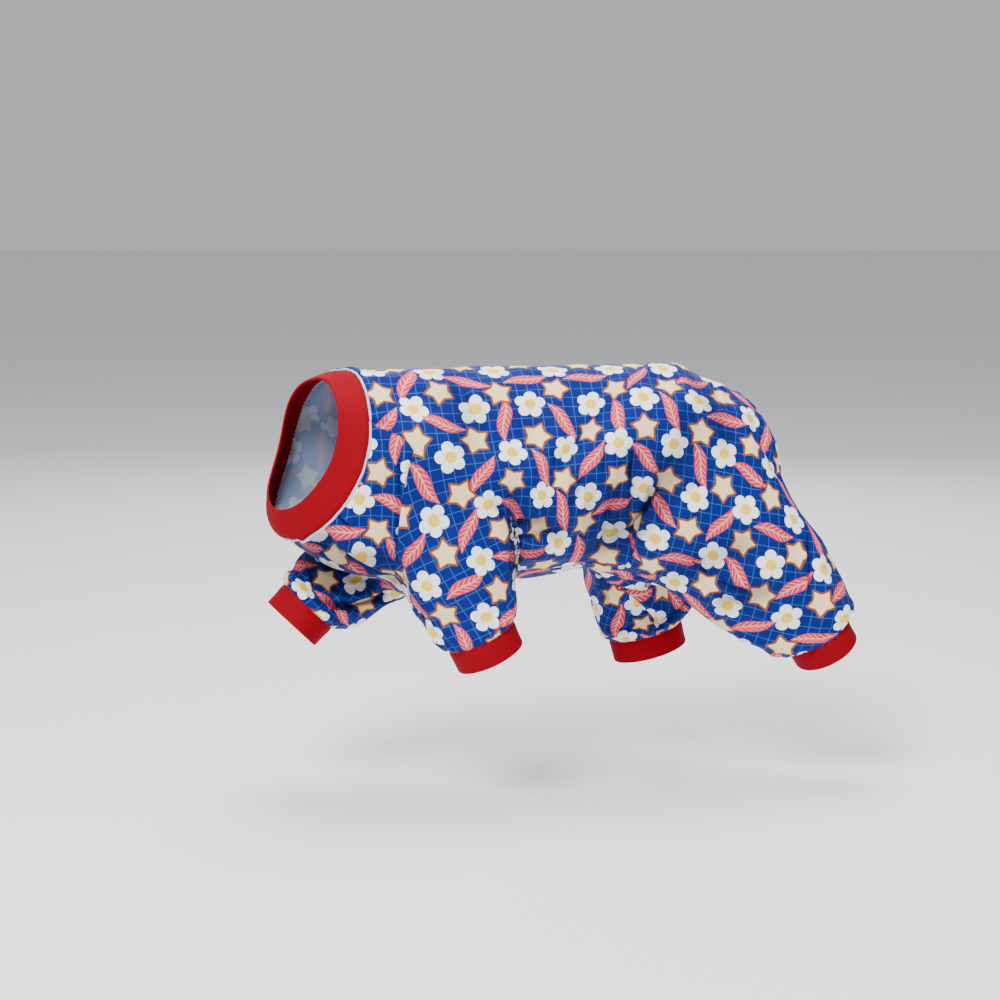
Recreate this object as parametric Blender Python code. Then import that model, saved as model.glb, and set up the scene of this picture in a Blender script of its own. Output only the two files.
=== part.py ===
"""Jumpsuit for a small dog, held in the shape that it has on a dog in mid stride.

One quad cage holds the torso tube, two sleeves, two hind legs, the neck rib, four cuffs
and the elastic hem round the rear opening. The cage is smoothed once, folded, and then
cut along its seams into cloth panels, each a closed wall with a small gap to the next.

Frame: +X runs from the neck to the tail, -Y is the dog's left side, +Z is up. The origin
is on the inside of the back panel, over the withers, where the dog's back carries it.
"""

import math

import bpy
import numpy as np

# Overall sizes, in metres.
BACK_LENGTH = 0.330
CHEST_DEPTH = 0.182
CHEST_WIDTH = 0.134
WITHERS_FROM_NECK = 0.084
NECK_RIB_HEIGHT = 0.022
CUFF_HEIGHT = 0.021
HEM_WIDTH = 0.009

# Leg sizes: the tube's width at its top and the cuff's diameter.
SLEEVE_WIDTH = 0.098
THIGH_WIDTH = 0.128
FRONT_CUFF_DIAMETER = 0.057
HIND_CUFF_DIAMETER = 0.060

# Cloth.
CLOTH_WALL = 0.0015
RIB_WALL = 0.0024
SEAM_GAP = 0.0004
RUFFLE_HEIGHT = 0.0014
MITRE_LEAST = 0.5

# Colours, as linear red, green, blue and alpha.
CLOTH_BLUE = (0.010, 0.052, 0.330, 1.0)
RIB_RED = (0.560, 0.006, 0.020, 1.0)
CLOTH_ROUGHNESS = 0.55
RIB_ROUGHNESS = 0.75

# Cage layout: columns run round the torso from the spine over the left side.
COLUMNS = 16
LEG_COLUMNS = 16
SECTION_POWER = 2.25
HOLE_TOP_COLUMN = 3
HOLE_LOW_COLUMN = 7
FRONT_HOLE_RING = 2
HIND_HOLE_RING = 10
HOLE_RINGS = 4
NECK_RIB_RINGS = 2
CUFF_RINGS = 1

# Each torso ring. x_* are shares of BACK_LENGTH from the neck seam at four angles from the
# spine: 0, 90, 135 and 180 degrees. top and belly are drops, as shares of CHEST_DEPTH.
# width is a share of CHEST_WIDTH. twist moves x by that share of y. inner_drop lowers the
# cloth between flank and belly, as a share of CHEST_DEPTH.
RING_COLUMNS = ("name", "x_top", "x_side", "x_inner", "x_belly",
                "top", "belly", "width", "twist", "inner_drop")
TORSO_RINGS = (
    ("neck_seam", 0.000, -0.050, -0.130, -0.168, 0.022, 0.750, 0.80, -0.38, 0.00),
    ("chest", 0.065, 0.000, -0.045, -0.060, 0.008, 0.900, 0.92, -0.32, 0.00),
    ("sleeve_front", 0.135, 0.050, 0.050, 0.085, 0.000, 0.990, 0.98, -0.25, 0.00),
    ("sleeve_1", 0.200, 0.125, 0.140, 0.175, -0.004, 1.000, 1.00, -0.17, 0.00),
    ("sleeve_2", 0.267, 0.200, 0.220, 0.255, -0.004, 1.000, 1.00, -0.10, 0.00),
    ("sleeve_3", 0.336, 0.280, 0.300, 0.335, -0.004, 0.995, 0.99, -0.05, 0.00),
    ("sleeve_back", 0.400, 0.360, 0.375, 0.410, -0.004, 0.985, 0.97, 0.00, 0.00),
    ("waist_1", 0.480, 0.445, 0.460, 0.480, -0.006, 0.965, 0.95, 0.00, 0.00),
    ("waist_2", 0.567, 0.533, 0.540, 0.535, -0.006, 0.940, 0.93, 0.00, 0.00),
    ("waist_3", 0.642, 0.618, 0.605, 0.578, -0.002, 0.910, 0.93, 0.00, 0.00),
    ("leg_front", 0.710, 0.690, 0.655, 0.602, 0.000, 0.890, 0.95, 0.00, 0.04),
    ("leg_1", 0.776, 0.770, 0.715, 0.620, 0.010, 0.875, 0.96, 0.00, 0.11),
    ("leg_2", 0.845, 0.853, 0.790, 0.636, 0.028, 0.865, 0.95, 0.00, 0.19),
    ("leg_3", 0.908, 0.935, 0.868, 0.650, 0.062, 0.860, 0.90, 0.00, 0.25),
    ("leg_back", 0.960, 1.015, 0.940, 0.662, 0.115, 0.860, 0.82, 0.00, 0.27),
    ("rear_seam", 0.993, 1.068, 0.985, 0.676, 0.180, 0.860, 0.70, 0.00, 0.27),
)
# The share of inner_drop at each eighth of the half turn from the side to the belly.
INNER_DROP_SHARES = (0.00, 0.06, 0.40, 1.00, 0.18)
# How far the neck rib leans in towards the neck, in degrees, at the nape and at the chest,
# and how far the rear hem turns in towards the opening.
RIB_LEAN_NAPE = 35
RIB_LEAN_CHEST = 62
HEM_TURN_IN = 50

# Each leg: where its cuff seam is centred, as shares of BACK_LENGTH, CHEST_WIDTH and
# CHEST_DEPTH from the origin, how far its cuff leans back from hanging down, and how oval
# the leg stretches its cuff, as the fore and aft width over the diameter.
LEGS = {
    "left_sleeve": dict(
        side=-1, ring=FRONT_HOLE_RING, width=SLEEVE_WIDTH, cuff=FRONT_CUFF_DIAMETER,
        cuff_name="left_front_cuff", cuff_at=(0.030, 0.36, -1.140), cuff_lean=25, oval=1.00,
    ),
    "right_sleeve": dict(
        side=1, ring=FRONT_HOLE_RING, width=SLEEVE_WIDTH, cuff=FRONT_CUFF_DIAMETER,
        cuff_name="right_front_cuff", cuff_at=(-0.315, 0.36, -1.080), cuff_lean=-45, oval=0.92,
    ),
    "left_hind_leg": dict(
        side=-1, ring=HIND_HOLE_RING, width=THIGH_WIDTH, cuff=HIND_CUFF_DIAMETER,
        cuff_name="left_hind_cuff", cuff_at=(0.890, 0.40, -1.215), cuff_lean=33, oval=0.92,
    ),
    "right_hind_leg": dict(
        side=1, ring=HIND_HOLE_RING, width=THIGH_WIDTH, cuff=HIND_CUFF_DIAMETER,
        cuff_name="right_hind_cuff", cuff_at=(0.560, 0.36, -1.275), cuff_lean=15, oval=1.10,
    ),
}

# Rings down each leg. along is the share of the way from the leg's top to its cuff seam,
# bow the step forwards from that line and out the step sideways, as shares of the leg's
# width, fore and side the ring's two widths as shares of the leg's width, lean its tilt
# back and splay the rise of its outer side, in degrees.
LEG_COLUMN_NAMES = ("along", "bow", "out", "fore", "side", "lean", "splay")
LEG_RINGS = {
    "left_sleeve": (
        (0.46, 0.07, 0.00, 1.10, 0.84, 8, 55),
        (0.67, 0.05, 0.00, 0.97, 0.72, 16, 40),
        (0.84, 0.01, 0.00, 0.82, 0.66, 23, 24),
        (0.96, 0.00, 0.00, 0.72, 0.64, 25, 8),
    ),
    "right_sleeve": (
        (0.38, -0.16, 0.08, 0.95, 0.84, -28, 50),
        (0.62, -0.06, 0.06, 0.90, 0.74, -38, 36),
        (0.82, -0.02, 0.02, 0.82, 0.68, -43, 20),
        (0.96, 0.00, 0.00, 0.70, 0.64, -45, 6),
    ),
    "left_hind_leg": (
        (0.50, -0.02, 0.03, 0.98, 0.74, 26, 56),
        (0.70, -0.02, 0.02, 0.88, 0.60, 30, 38),
        (0.88, -0.01, 0.00, 0.78, 0.55, 33, 18),
        (1.02, 0.00, 0.00, 0.62, 0.50, 33, 3),
    ),
    "right_hind_leg": (
        (0.50, 0.00, 0.03, 0.92, 0.74, 4, 54),
        (0.70, 0.00, 0.02, 0.82, 0.60, 8, 36),
        (0.86, 0.00, 0.00, 0.73, 0.54, 13, 18),
        (0.97, 0.00, 0.00, 0.62, 0.50, 15, 5),
    ),
}

# Folds of the cloth, as straight valleys drawn in side view. x, width and depth are shares
# of BACK_LENGTH and z is a drop as a share of CHEST_DEPTH. side is -1 on the left, 1 on the
# right and 0 on both. A negative depth stands out as a ridge.
FOLD_COLUMNS = ("name", "side", "from_x", "from_z", "to_x", "to_z", "width", "depth")
FOLDS = (
    ("chest_swag_upper", 0, -0.110, 0.690, 0.045, 0.830, 0.022, 0.019),
    ("chest_swag_middle", 0, -0.125, 0.760, 0.080, 0.925, 0.022, 0.022),
    ("chest_swag_lower", 0, -0.110, 0.860, 0.095, 0.985, 0.022, 0.016),
    ("left_shoulder", -1, 0.236, 0.105, 0.241, 0.307, 0.030, 0.011),
    ("left_armhole_back", -1, 0.345, 0.560, 0.372, 0.900, 0.026, 0.016),
    ("left_flank", -1, 0.370, 0.640, 0.470, 0.720, 0.026, 0.013),
    ("left_waist_front", -1, 0.535, 0.500, 0.565, 0.800, 0.028, 0.010),
    ("left_waist_middle", -1, 0.612, 0.560, 0.596, 0.800, 0.026, 0.013),
    ("left_waist_back", -1, 0.655, 0.400, 0.635, 0.800, 0.028, 0.013),
    ("left_thigh_upper", -1, 0.740, 0.470, 0.708, 0.611, 0.028, 0.019),
    ("left_thigh_lower", -1, 0.708, 0.611, 0.660, 0.780, 0.028, 0.019),
    ("left_hip", -1, 0.802, 0.249, 0.745, 0.500, 0.036, 0.011),
    ("left_tail", -1, 0.851, 0.107, 0.890, 0.330, 0.030, 0.014),
    ("left_knee", -1, 0.981, 1.009, 0.890, 1.050, 0.026, 0.016),
    ("left_leg_swag", -1, 0.913, 0.802, 0.797, 0.911, 0.036, 0.013),
    ("left_leg_seam_upper", -1, 1.001, 0.560, 1.121, 0.803, 0.022, -0.005),
    ("left_leg_seam_lower", -1, 1.121, 0.803, 1.130, 1.098, 0.022, -0.005),
    ("left_sleeve_front", -1, 0.060, 0.800, 0.120, 1.060, 0.032, 0.011),
    ("right_sleeve_front", 1, -0.085, 0.829, -0.064, 1.067, 0.026, 0.016),
    ("right_sleeve_under", 1, -0.050, 0.985, 0.100, 1.030, 0.026, 0.016),
    ("right_sleeve_back", 1, 0.230, 0.600, 0.120, 0.880, 0.032, 0.016),
    ("right_flank", 1, 0.350, 0.420, 0.440, 0.700, 0.034, 0.013),
    ("right_waist_front", 1, 0.545, 0.450, 0.570, 0.790, 0.030, 0.013),
    ("right_waist_back", 1, 0.640, 0.420, 0.620, 0.800, 0.030, 0.013),
    ("right_thigh", 1, 0.820, 0.300, 0.730, 0.640, 0.036, 0.016),
    ("right_seat", 1, 0.930, 0.350, 0.860, 0.720, 0.036, 0.016),
    ("right_leg", 1, 0.700, 0.940, 0.640, 1.100, 0.030, 0.013),
)


def clear_scene():
    for obj in list(bpy.data.objects):
        bpy.data.objects.remove(obj)


def smooth_between(values, position):
    """Cubic through evenly weighted control values; position counts from the first."""
    last = len(values) - 1
    start = min(int(position), last - 1)
    share = position - start
    a, b = values[start], values[start + 1]
    before = values[start - 1] if start else 2 * a - b
    after = values[start + 2] if start + 2 <= last else 2 * b - a
    slope_a, slope_b = (b - before) / 2, (after - a) / 2
    return (a * (2 * share**3 - 3 * share**2 + 1) + slope_a * (share**3 - 2 * share**2 + share)
            + b * (3 * share**2 - 2 * share**3) + slope_b * (share**3 - share**2))


def torso_point(ring, column):
    """A cage point: column 0 is the spine, and columns count over the left side."""
    row = dict(zip(RING_COLUMNS, TORSO_RINGS[ring]))
    angle = 2 * math.pi * column / COLUMNS
    turn = min(angle, 2 * math.pi - angle)
    x_quarter = (row["x_top"] + row["x_side"]) / 2
    controls = (row["x_top"], x_quarter, row["x_side"], row["x_inner"], row["x_belly"])
    x = smooth_between(controls, turn / (math.pi / 4)) * BACK_LENGTH - WITHERS_FROM_NECK
    top, belly = -row["top"] * CHEST_DEPTH, -row["belly"] * CHEST_DEPTH
    rounding = 2 / SECTION_POWER
    cosine = math.copysign(abs(math.cos(angle)) ** rounding, math.cos(angle))
    sine = math.copysign(abs(math.sin(angle)) ** rounding, math.sin(angle))
    y = -sine * row["width"] * CHEST_WIDTH / 2
    inner = smooth_between(INNER_DROP_SHARES, max(turn / (math.pi / 8) - 4, 0))
    z = (top + belly) / 2 + cosine * (top - belly) / 2 - inner * row["inner_drop"] * CHEST_DEPTH
    return np.array((x + row["twist"] * y, y, z + CLOTH_WALL))


def neck_rib_rings(seam):
    """Rings of the neck rib from its edge back to the seam, leaning in towards the neck."""
    centre = np.mean(seam, axis=0)
    rise = seam[0] - seam[COLUMNS // 2]
    across = seam[COLUMNS * 3 // 4] - seam[COLUMNS // 4]
    normal = np.cross(rise, across)
    normal /= np.linalg.norm(normal)
    rings = []
    for step in range(NECK_RIB_RINGS, 0, -1):
        ring = []
        for column, point in enumerate(seam):
            to_chest = (1 - math.cos(2 * math.pi * column / COLUMNS)) / 2
            lean = math.radians(RIB_LEAN_NAPE + (RIB_LEAN_CHEST - RIB_LEAN_NAPE) * to_chest)
            inward = (centre - point) / np.linalg.norm(centre - point)
            way = normal * math.cos(lean) + inward * math.sin(lean)
            ring.append(point + way * NECK_RIB_HEIGHT * step / NECK_RIB_RINGS)
        rings.append(ring)
    return rings


def hem_ring(seam, before):
    """The free edge of the rear hem, turned in from the cloth that leads to its seam."""
    centre = np.mean(seam, axis=0)
    turn = math.radians(HEM_TURN_IN)
    ring = []
    for point, previous in zip(seam, before):
        onward = (point - previous) / np.linalg.norm(point - previous)
        inward = (centre - point) / np.linalg.norm(centre - point)
        way = onward * math.cos(turn) + inward * math.sin(turn)
        ring.append(point + way / np.linalg.norm(way) * HEM_WIDTH)
    return ring


def hole_loop(leg):
    """(ring, column) of the cage points round a leg's hole, from its outer side forwards."""
    first, last = leg["ring"], leg["ring"] + HOLE_RINGS
    middle = (first + last) // 2
    top, low = HOLE_TOP_COLUMN, HOLE_LOW_COLUMN
    loop = [(ring, top) for ring in range(middle, first, -1)]
    loop += [(first, column) for column in range(top, low)]
    loop += [(ring, low) for ring in range(first, last)]
    loop += [(last, column) for column in range(low, top, -1)]
    loop += [(ring, top) for ring in range(last, middle, -1)]
    if leg["side"] > 0:
        loop = [(ring, COLUMNS - column) for ring, column in loop]
    return loop


def leg_ring(leg, centre, fore, side, lean, splay):
    """The points of one ring of a leg, from its outer side forwards."""
    lean, splay = math.radians(lean), math.radians(splay)
    outer = np.array((0.0, leg["side"] * math.cos(splay), math.sin(splay)))
    forward = np.array((-math.cos(lean), 0.0, -math.sin(lean)))
    points = []
    for column in range(LEG_COLUMNS):
        angle = 2 * math.pi * column / LEG_COLUMNS
        points.append(centre + outer * math.cos(angle) * side / 2
                      + forward * math.sin(angle) * fore / 2)
    return points


def leg_rings(name, leg, root):
    """The rings of a leg below its hole, and those of its cuff, as lists of points."""
    share_x, share_y, share_z = leg["cuff_at"]
    cuff_centre = np.array((share_x * BACK_LENGTH, leg["side"] * share_y * CHEST_WIDTH,
                            share_z * CHEST_DEPTH))
    lean = math.radians(leg["cuff_lean"])
    down = np.array((math.sin(lean), 0.0, -math.cos(lean)))
    forward = np.array((-math.cos(lean), 0.0, -math.sin(lean)))
    outward = np.array((0.0, leg["side"], 0.0))
    rings = []
    for values in LEG_RINGS[name]:
        row = dict(zip(LEG_COLUMN_NAMES, values))
        centre = root + (cuff_centre - root) * row["along"]
        centre += (forward * row["bow"] + outward * row["out"]) * leg["width"]
        rings.append(leg_ring(leg, centre, row["fore"] * leg["width"],
                              row["side"] * leg["width"], row["lean"], row["splay"]))
    for step in range(CUFF_RINGS + 1):
        centre = cuff_centre + down * CUFF_HEIGHT * step / CUFF_RINGS
        rings.append(leg_ring(leg, centre, leg["cuff"] * leg["oval"],
                              leg["cuff"] / leg["oval"], leg["cuff_lean"], 0))
    return rings


def torso_panel(ring, column):
    """The name of the panel that a torso face belongs to, or None over a leg's hole."""
    from_spine = min(column, COLUMNS - 1 - column)
    in_hole_columns = HOLE_TOP_COLUMN <= from_spine < HOLE_LOW_COLUMN
    for first in (FRONT_HOLE_RING, HIND_HOLE_RING):
        if in_hole_columns and first <= ring < first + HOLE_RINGS:
            return None
    if ring < 0:
        return "neck_rib"
    if ring >= len(TORSO_RINGS) - 1:
        return "rear_elastic_hem"
    if ring < FRONT_HOLE_RING and from_spine >= HOLE_TOP_COLUMN:
        return "chest_panel"
    return "chest_panel" if from_spine >= HOLE_LOW_COLUMN else "back_panel"


def cloth_before_trim(ring, rings):
    """1 on the last ring of cloth before a trim's seam, where the cloth is gathered, else 0."""
    return 1.0 if ring == rings - 1 else 0.0


def build_cage():
    """Cage points, faces, each face's panel name and each corner's column and gather."""
    points, faces, panels, places, index = [], [], [], [], {}

    def add_ring(name, ring, ring_points):
        for column, point in enumerate(ring_points):
            index[(name, ring, column)] = len(points)
            points.append(point)

    def add_face(corners, panel, column, gathers, turned=False):
        place = [(column, gathers[0]), (column + 1, gathers[0]),
                 (column + 1, gathers[1]), (column, gathers[1])]
        faces.append(corners[::-1] if turned else corners)
        places.append(place[::-1] if turned else place)
        panels.append(panel)

    seam_ring = len(TORSO_RINGS) - 1
    torso = [[torso_point(ring, column) for column in range(COLUMNS)]
             for ring in range(len(TORSO_RINGS))]
    torso = neck_rib_rings(torso[0]) + torso + [hem_ring(torso[-1], torso[-2])]
    for position, ring_points in enumerate(torso):
        add_ring("torso", position - NECK_RIB_RINGS, ring_points)
    for ring in range(-NECK_RIB_RINGS, len(TORSO_RINGS)):
        gathers = [cloth_before_trim(r, seam_ring) for r in (ring, ring + 1)]
        for column in range(COLUMNS):
            panel = torso_panel(ring, column)
            if panel is None:
                continue
            after = (column + 1) % COLUMNS
            corners = ((ring, column), (ring, after), (ring + 1, after), (ring + 1, column))
            add_face([index[("torso", *corner)] for corner in corners], panel, column, gathers)
    for name, leg in LEGS.items():
        loop = [index[("torso", ring, column % COLUMNS)] for ring, column in hole_loop(leg)]
        root = np.mean([points[i] for i in loop], axis=0)
        below = leg_rings(name, leg, root)
        for ring, ring_points in enumerate(below):
            add_ring(name, ring, ring_points)
        rings = [loop]
        rings += [[index[(name, r, c)] for c in range(LEG_COLUMNS)] for r in range(len(below))]
        cuff_seam = len(below) - CUFF_RINGS
        for step in range(len(below)):
            upper, lower = rings[step], rings[step + 1]
            gathers = [cloth_before_trim(r, cuff_seam) for r in (step, step + 1)]
            for column in range(LEG_COLUMNS):
                after = (column + 1) % LEG_COLUMNS
                corners = [upper[column], upper[after], lower[after], lower[column]]
                add_face(corners, leg["cuff_name"] if step >= cuff_seam else name, column,
                         gathers, turned=leg["side"] > 0)
    used = sorted({corner for face in faces for corner in face})
    renumber = {old: new for new, old in enumerate(used)}
    faces = [[renumber[corner] for corner in face] for face in faces]
    return [points[i] for i in used], faces, panels, places


def smoothed(points, faces, panels, places):
    """The cage after subdivision: points, faces, panel and corner places of each face."""
    names = sorted(set(panels))
    mesh = bpy.data.meshes.new("cage")
    mesh.from_pydata([tuple(p) for p in points], [], faces)
    for name in names:
        mesh.materials.append(bpy.data.materials.new(name))
    for polygon, panel in zip(mesh.polygons, panels):
        polygon.material_index = names.index(panel)
    layer = mesh.uv_layers.new(name="place")
    for corner, place in zip(layer.data, [p for face in places for p in face]):
        corner.uv = place
    cage = bpy.data.objects.new("cage", mesh)
    bpy.context.scene.collection.objects.link(cage)
    subdivision = cage.modifiers.new("smooth", "SUBSURF")
    subdivision.levels = subdivision.render_levels = 1
    subdivision.uv_smooth = "NONE"
    evaluated = cage.evaluated_get(bpy.context.evaluated_depsgraph_get())
    fine = bpy.data.meshes.new_from_object(evaluated)
    bpy.data.objects.remove(cage)
    co = np.array([v.co for v in fine.vertices], float)
    fine_faces = [list(p.vertices) for p in fine.polygons]
    fine_panels = [names[p.material_index] for p in fine.polygons]
    corners = fine.uv_layers["place"].data
    fine_places = [[tuple(corners[i].uv) for i in p.loop_indices] for p in fine.polygons]
    return co, fine_faces, fine_panels, fine_places


def point_normals(co, faces):
    mesh = bpy.data.meshes.new("surface")
    mesh.from_pydata([tuple(p) for p in co], [], faces)
    return np.array([n.vector for n in mesh.vertex_normals], float)


def is_trim(panel):
    return panel in ("neck_rib", "rear_elastic_hem") or panel.endswith("cuff")


def fold_drops(co, normals):
    """How far each point of the cloth sinks into the folds."""
    drops = np.zeros(len(co))
    side_view = co[:, [0, 2]]
    for values in FOLDS:
        row = dict(zip(FOLD_COLUMNS, values))
        start, end = (
            np.array((row[x] * BACK_LENGTH - WITHERS_FROM_NECK, -row[z] * CHEST_DEPTH))
            for x, z in (("from_x", "from_z"), ("to_x", "to_z"))
        )
        way = end - start
        along = np.clip((side_view - start) @ way / (way @ way), 0, 1)
        distance = np.linalg.norm(side_view - start - along[:, None] * way, axis=1)
        drop = row["depth"] * BACK_LENGTH * np.exp(-(distance / (row["width"] * BACK_LENGTH)) ** 2)
        if row["side"]:
            drop *= np.clip(2 * row["side"] * normals[:, 1], 0, 1) * (co[:, 1] * row["side"] > 0)
        drops += drop
    return drops


def gather_drops(co, faces, panels, places):
    """The small in and out of the gathered cloth just before a cuff or the rear hem."""
    drops = np.zeros(len(co))
    for face, panel, place in zip(faces, panels, places):
        if is_trim(panel):
            continue
        for i, (column, gather) in zip(face, place):
            drops[i] = gather * math.cos(2 * math.pi * column) * RUFFLE_HEIGHT
    return drops


def folded(co, faces, panels, places):
    """The points after the cloth sinks into its folds and gathers. The trims stay put."""
    normals = point_normals(co, faces)
    drops = fold_drops(co, normals) + gather_drops(co, faces, panels, places)
    still = sorted({i for face, panel in zip(faces, panels) if is_trim(panel) for i in face})
    drops[still] = 0
    return co - normals * drops[:, None]


def seam_shifts(own, other_points, co, normals):
    """How far each seam point of a panel steps in from the seam, by half the seam's gap."""
    sides = {(a, b) for face in own for a, b in zip(face, face[1:] + face[:1])}
    inward = {}
    for a, b in sides:
        if (b, a) in sides or a not in other_points or b not in other_points:
            continue
        along = (co[b] - co[a]) / np.linalg.norm(co[b] - co[a])
        for i in (a, b):
            way = np.cross(normals[i], along)
            inward.setdefault(i, []).append(way / np.linalg.norm(way))
    shifts = {}
    for i, ways in inward.items():
        total = np.sum(ways, axis=0)
        shifts[i] = total / max(total @ ways[0], MITRE_LEAST) * SEAM_GAP / 2
    return shifts


def rim_faces(a, b, count):
    """The two triangles that close a wall along an edge, cut the same way on both panels."""
    if a < b:
        return [[b, a, a + count], [b, a + count, b + count]]
    return [[b, a, b + count], [a, a + count, b + count]]


def panel_mesh(name, co, faces, panels, normals, wall):
    """A closed wall over the faces of one panel, pulled back a little at its seams."""
    own = [face for face, panel in zip(faces, panels) if panel == name]
    other_points = {i for face, panel in zip(faces, panels) if panel != name for i in face}
    used = sorted({i for face in own for i in face})
    renumber = {old: new for new, old in enumerate(used)}
    shifts = seam_shifts(own, other_points, co, normals)
    outer = [co[i] + shifts.get(i, 0) for i in used]
    inner = [point - normals[i] * wall for i, point in zip(used, outer)]
    count = len(used)
    new_faces = [[renumber[i] for i in face] for face in own]
    sides = {(a, b) for face in new_faces for a, b in zip(face, face[1:] + face[:1])}
    rims = sorted((a, b) for a, b in sides if (b, a) not in sides)
    all_faces = new_faces + [[i + count for i in reversed(face)] for face in new_faces]
    for a, b in rims:
        all_faces += rim_faces(a, b, count)
    mesh = bpy.data.meshes.new(name)
    mesh.from_pydata([tuple(p) for p in outer + inner], [], all_faces)
    mesh.shade_smooth()
    return mesh


def plain_material(name, colour, roughness):
    material = bpy.data.materials.new(name)
    material.use_nodes = True
    shader = material.node_tree.nodes["Principled BSDF"]
    shader.inputs["Base Color"].default_value = colour
    shader.inputs["Roughness"].default_value = roughness
    shader.inputs["Metallic"].default_value = 0.0
    return material


def main():
    clear_scene()
    co, faces, panels, places = smoothed(*build_cage())
    co = folded(co, faces, panels, places)
    normals = point_normals(co, faces)
    jumpsuit = bpy.data.objects.new("dog_jumpsuit", None)
    bpy.context.scene.collection.objects.link(jumpsuit)
    for name in sorted(set(panels)):
        rib = is_trim(name) and name != "rear_elastic_hem"
        mesh = panel_mesh(name, co, faces, panels, normals, RIB_WALL if rib else CLOTH_WALL)
        colour, roughness = (RIB_RED, RIB_ROUGHNESS) if rib else (CLOTH_BLUE, CLOTH_ROUGHNESS)
        mesh.materials.append(plain_material(name, colour, roughness))
        panel = bpy.data.objects.new(name, mesh)
        bpy.context.scene.collection.objects.link(panel)
        panel.parent = jumpsuit


main()
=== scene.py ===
"""Looks of the dog jumpsuit: printed cloth with folds, rib bands, seams and stitches.

The same cage as the solids is smoothed finer, flattened panel by panel for the print,
folded, settled by a cloth simulation and cut into panels with a wall and rounded edges.
"""
import math

import bpy
import numpy as np
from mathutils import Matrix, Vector, bvhtree, kdtree, noise


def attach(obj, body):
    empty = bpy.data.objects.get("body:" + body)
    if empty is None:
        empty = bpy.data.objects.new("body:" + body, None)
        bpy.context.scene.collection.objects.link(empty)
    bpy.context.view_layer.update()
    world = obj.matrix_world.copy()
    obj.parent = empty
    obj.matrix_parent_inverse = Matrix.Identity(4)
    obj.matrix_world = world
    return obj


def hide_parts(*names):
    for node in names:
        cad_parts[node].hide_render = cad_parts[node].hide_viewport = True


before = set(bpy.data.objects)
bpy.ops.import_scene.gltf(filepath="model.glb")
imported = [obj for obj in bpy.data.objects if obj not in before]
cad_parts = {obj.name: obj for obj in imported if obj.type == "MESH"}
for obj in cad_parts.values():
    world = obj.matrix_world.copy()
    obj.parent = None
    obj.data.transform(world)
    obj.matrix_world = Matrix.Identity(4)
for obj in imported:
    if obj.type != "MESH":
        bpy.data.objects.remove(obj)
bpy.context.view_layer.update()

# Overall sizes, in metres.
BACK_LENGTH = 0.330
CHEST_DEPTH = 0.182
CHEST_WIDTH = 0.134
WITHERS_FROM_NECK = 0.084
NECK_RIB_HEIGHT = 0.022
CUFF_HEIGHT = 0.021
HEM_WIDTH = 0.009

# Leg sizes: the tube's width at its top and the cuff's diameter.
SLEEVE_WIDTH = 0.098
THIGH_WIDTH = 0.128
FRONT_CUFF_DIAMETER = 0.057
HIND_CUFF_DIAMETER = 0.060

# Cloth.
CLOTH_WALL = 0.0015
CLOTH_THICKNESS = 0.0011
RIB_THICKNESS = 0.0023
HEM_THICKNESS = 0.0018

# Cage layout: columns run round the torso from the spine over the left side.
COLUMNS = 16
LEG_COLUMNS = 16
SECTION_POWER = 2.25
HOLE_TOP_COLUMN = 3
HOLE_LOW_COLUMN = 7
FRONT_HOLE_RING = 2
HIND_HOLE_RING = 10
HOLE_RINGS = 4
NECK_RIB_RINGS = 2
CUFF_RINGS = 1

# Each torso ring. x_* are shares of BACK_LENGTH from the neck seam at four angles from the
# spine: 0, 90, 135 and 180 degrees. top and belly are drops, as shares of CHEST_DEPTH.
# width is a share of CHEST_WIDTH. twist moves x by that share of y. inner_drop lowers the
# cloth between flank and belly, as a share of CHEST_DEPTH.
RING_COLUMNS = ("name", "x_top", "x_side", "x_inner", "x_belly",
                "top", "belly", "width", "twist", "inner_drop")
TORSO_RINGS = (
    ("neck_seam", 0.000, -0.050, -0.130, -0.168, 0.022, 0.750, 0.80, -0.38, 0.00),
    ("chest", 0.065, 0.000, -0.045, -0.060, 0.008, 0.900, 0.92, -0.32, 0.00),
    ("sleeve_front", 0.135, 0.050, 0.050, 0.085, 0.000, 0.990, 0.98, -0.25, 0.00),
    ("sleeve_1", 0.200, 0.125, 0.140, 0.175, -0.004, 1.000, 1.00, -0.17, 0.00),
    ("sleeve_2", 0.267, 0.200, 0.220, 0.255, -0.004, 1.000, 1.00, -0.10, 0.00),
    ("sleeve_3", 0.336, 0.280, 0.300, 0.335, -0.004, 0.995, 0.99, -0.05, 0.00),
    ("sleeve_back", 0.400, 0.360, 0.375, 0.410, -0.004, 0.985, 0.97, 0.00, 0.00),
    ("waist_1", 0.480, 0.445, 0.460, 0.480, -0.006, 0.965, 0.95, 0.00, 0.00),
    ("waist_2", 0.567, 0.533, 0.540, 0.535, -0.006, 0.940, 0.93, 0.00, 0.00),
    ("waist_3", 0.642, 0.618, 0.605, 0.578, -0.002, 0.910, 0.93, 0.00, 0.00),
    ("leg_front", 0.710, 0.690, 0.655, 0.602, 0.000, 0.890, 0.95, 0.00, 0.04),
    ("leg_1", 0.776, 0.770, 0.715, 0.620, 0.010, 0.875, 0.96, 0.00, 0.11),
    ("leg_2", 0.845, 0.853, 0.790, 0.636, 0.028, 0.865, 0.95, 0.00, 0.19),
    ("leg_3", 0.908, 0.935, 0.868, 0.650, 0.062, 0.860, 0.90, 0.00, 0.25),
    ("leg_back", 0.960, 1.015, 0.940, 0.662, 0.115, 0.860, 0.82, 0.00, 0.27),
    ("rear_seam", 0.993, 1.068, 0.985, 0.676, 0.180, 0.860, 0.70, 0.00, 0.27),
)
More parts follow.
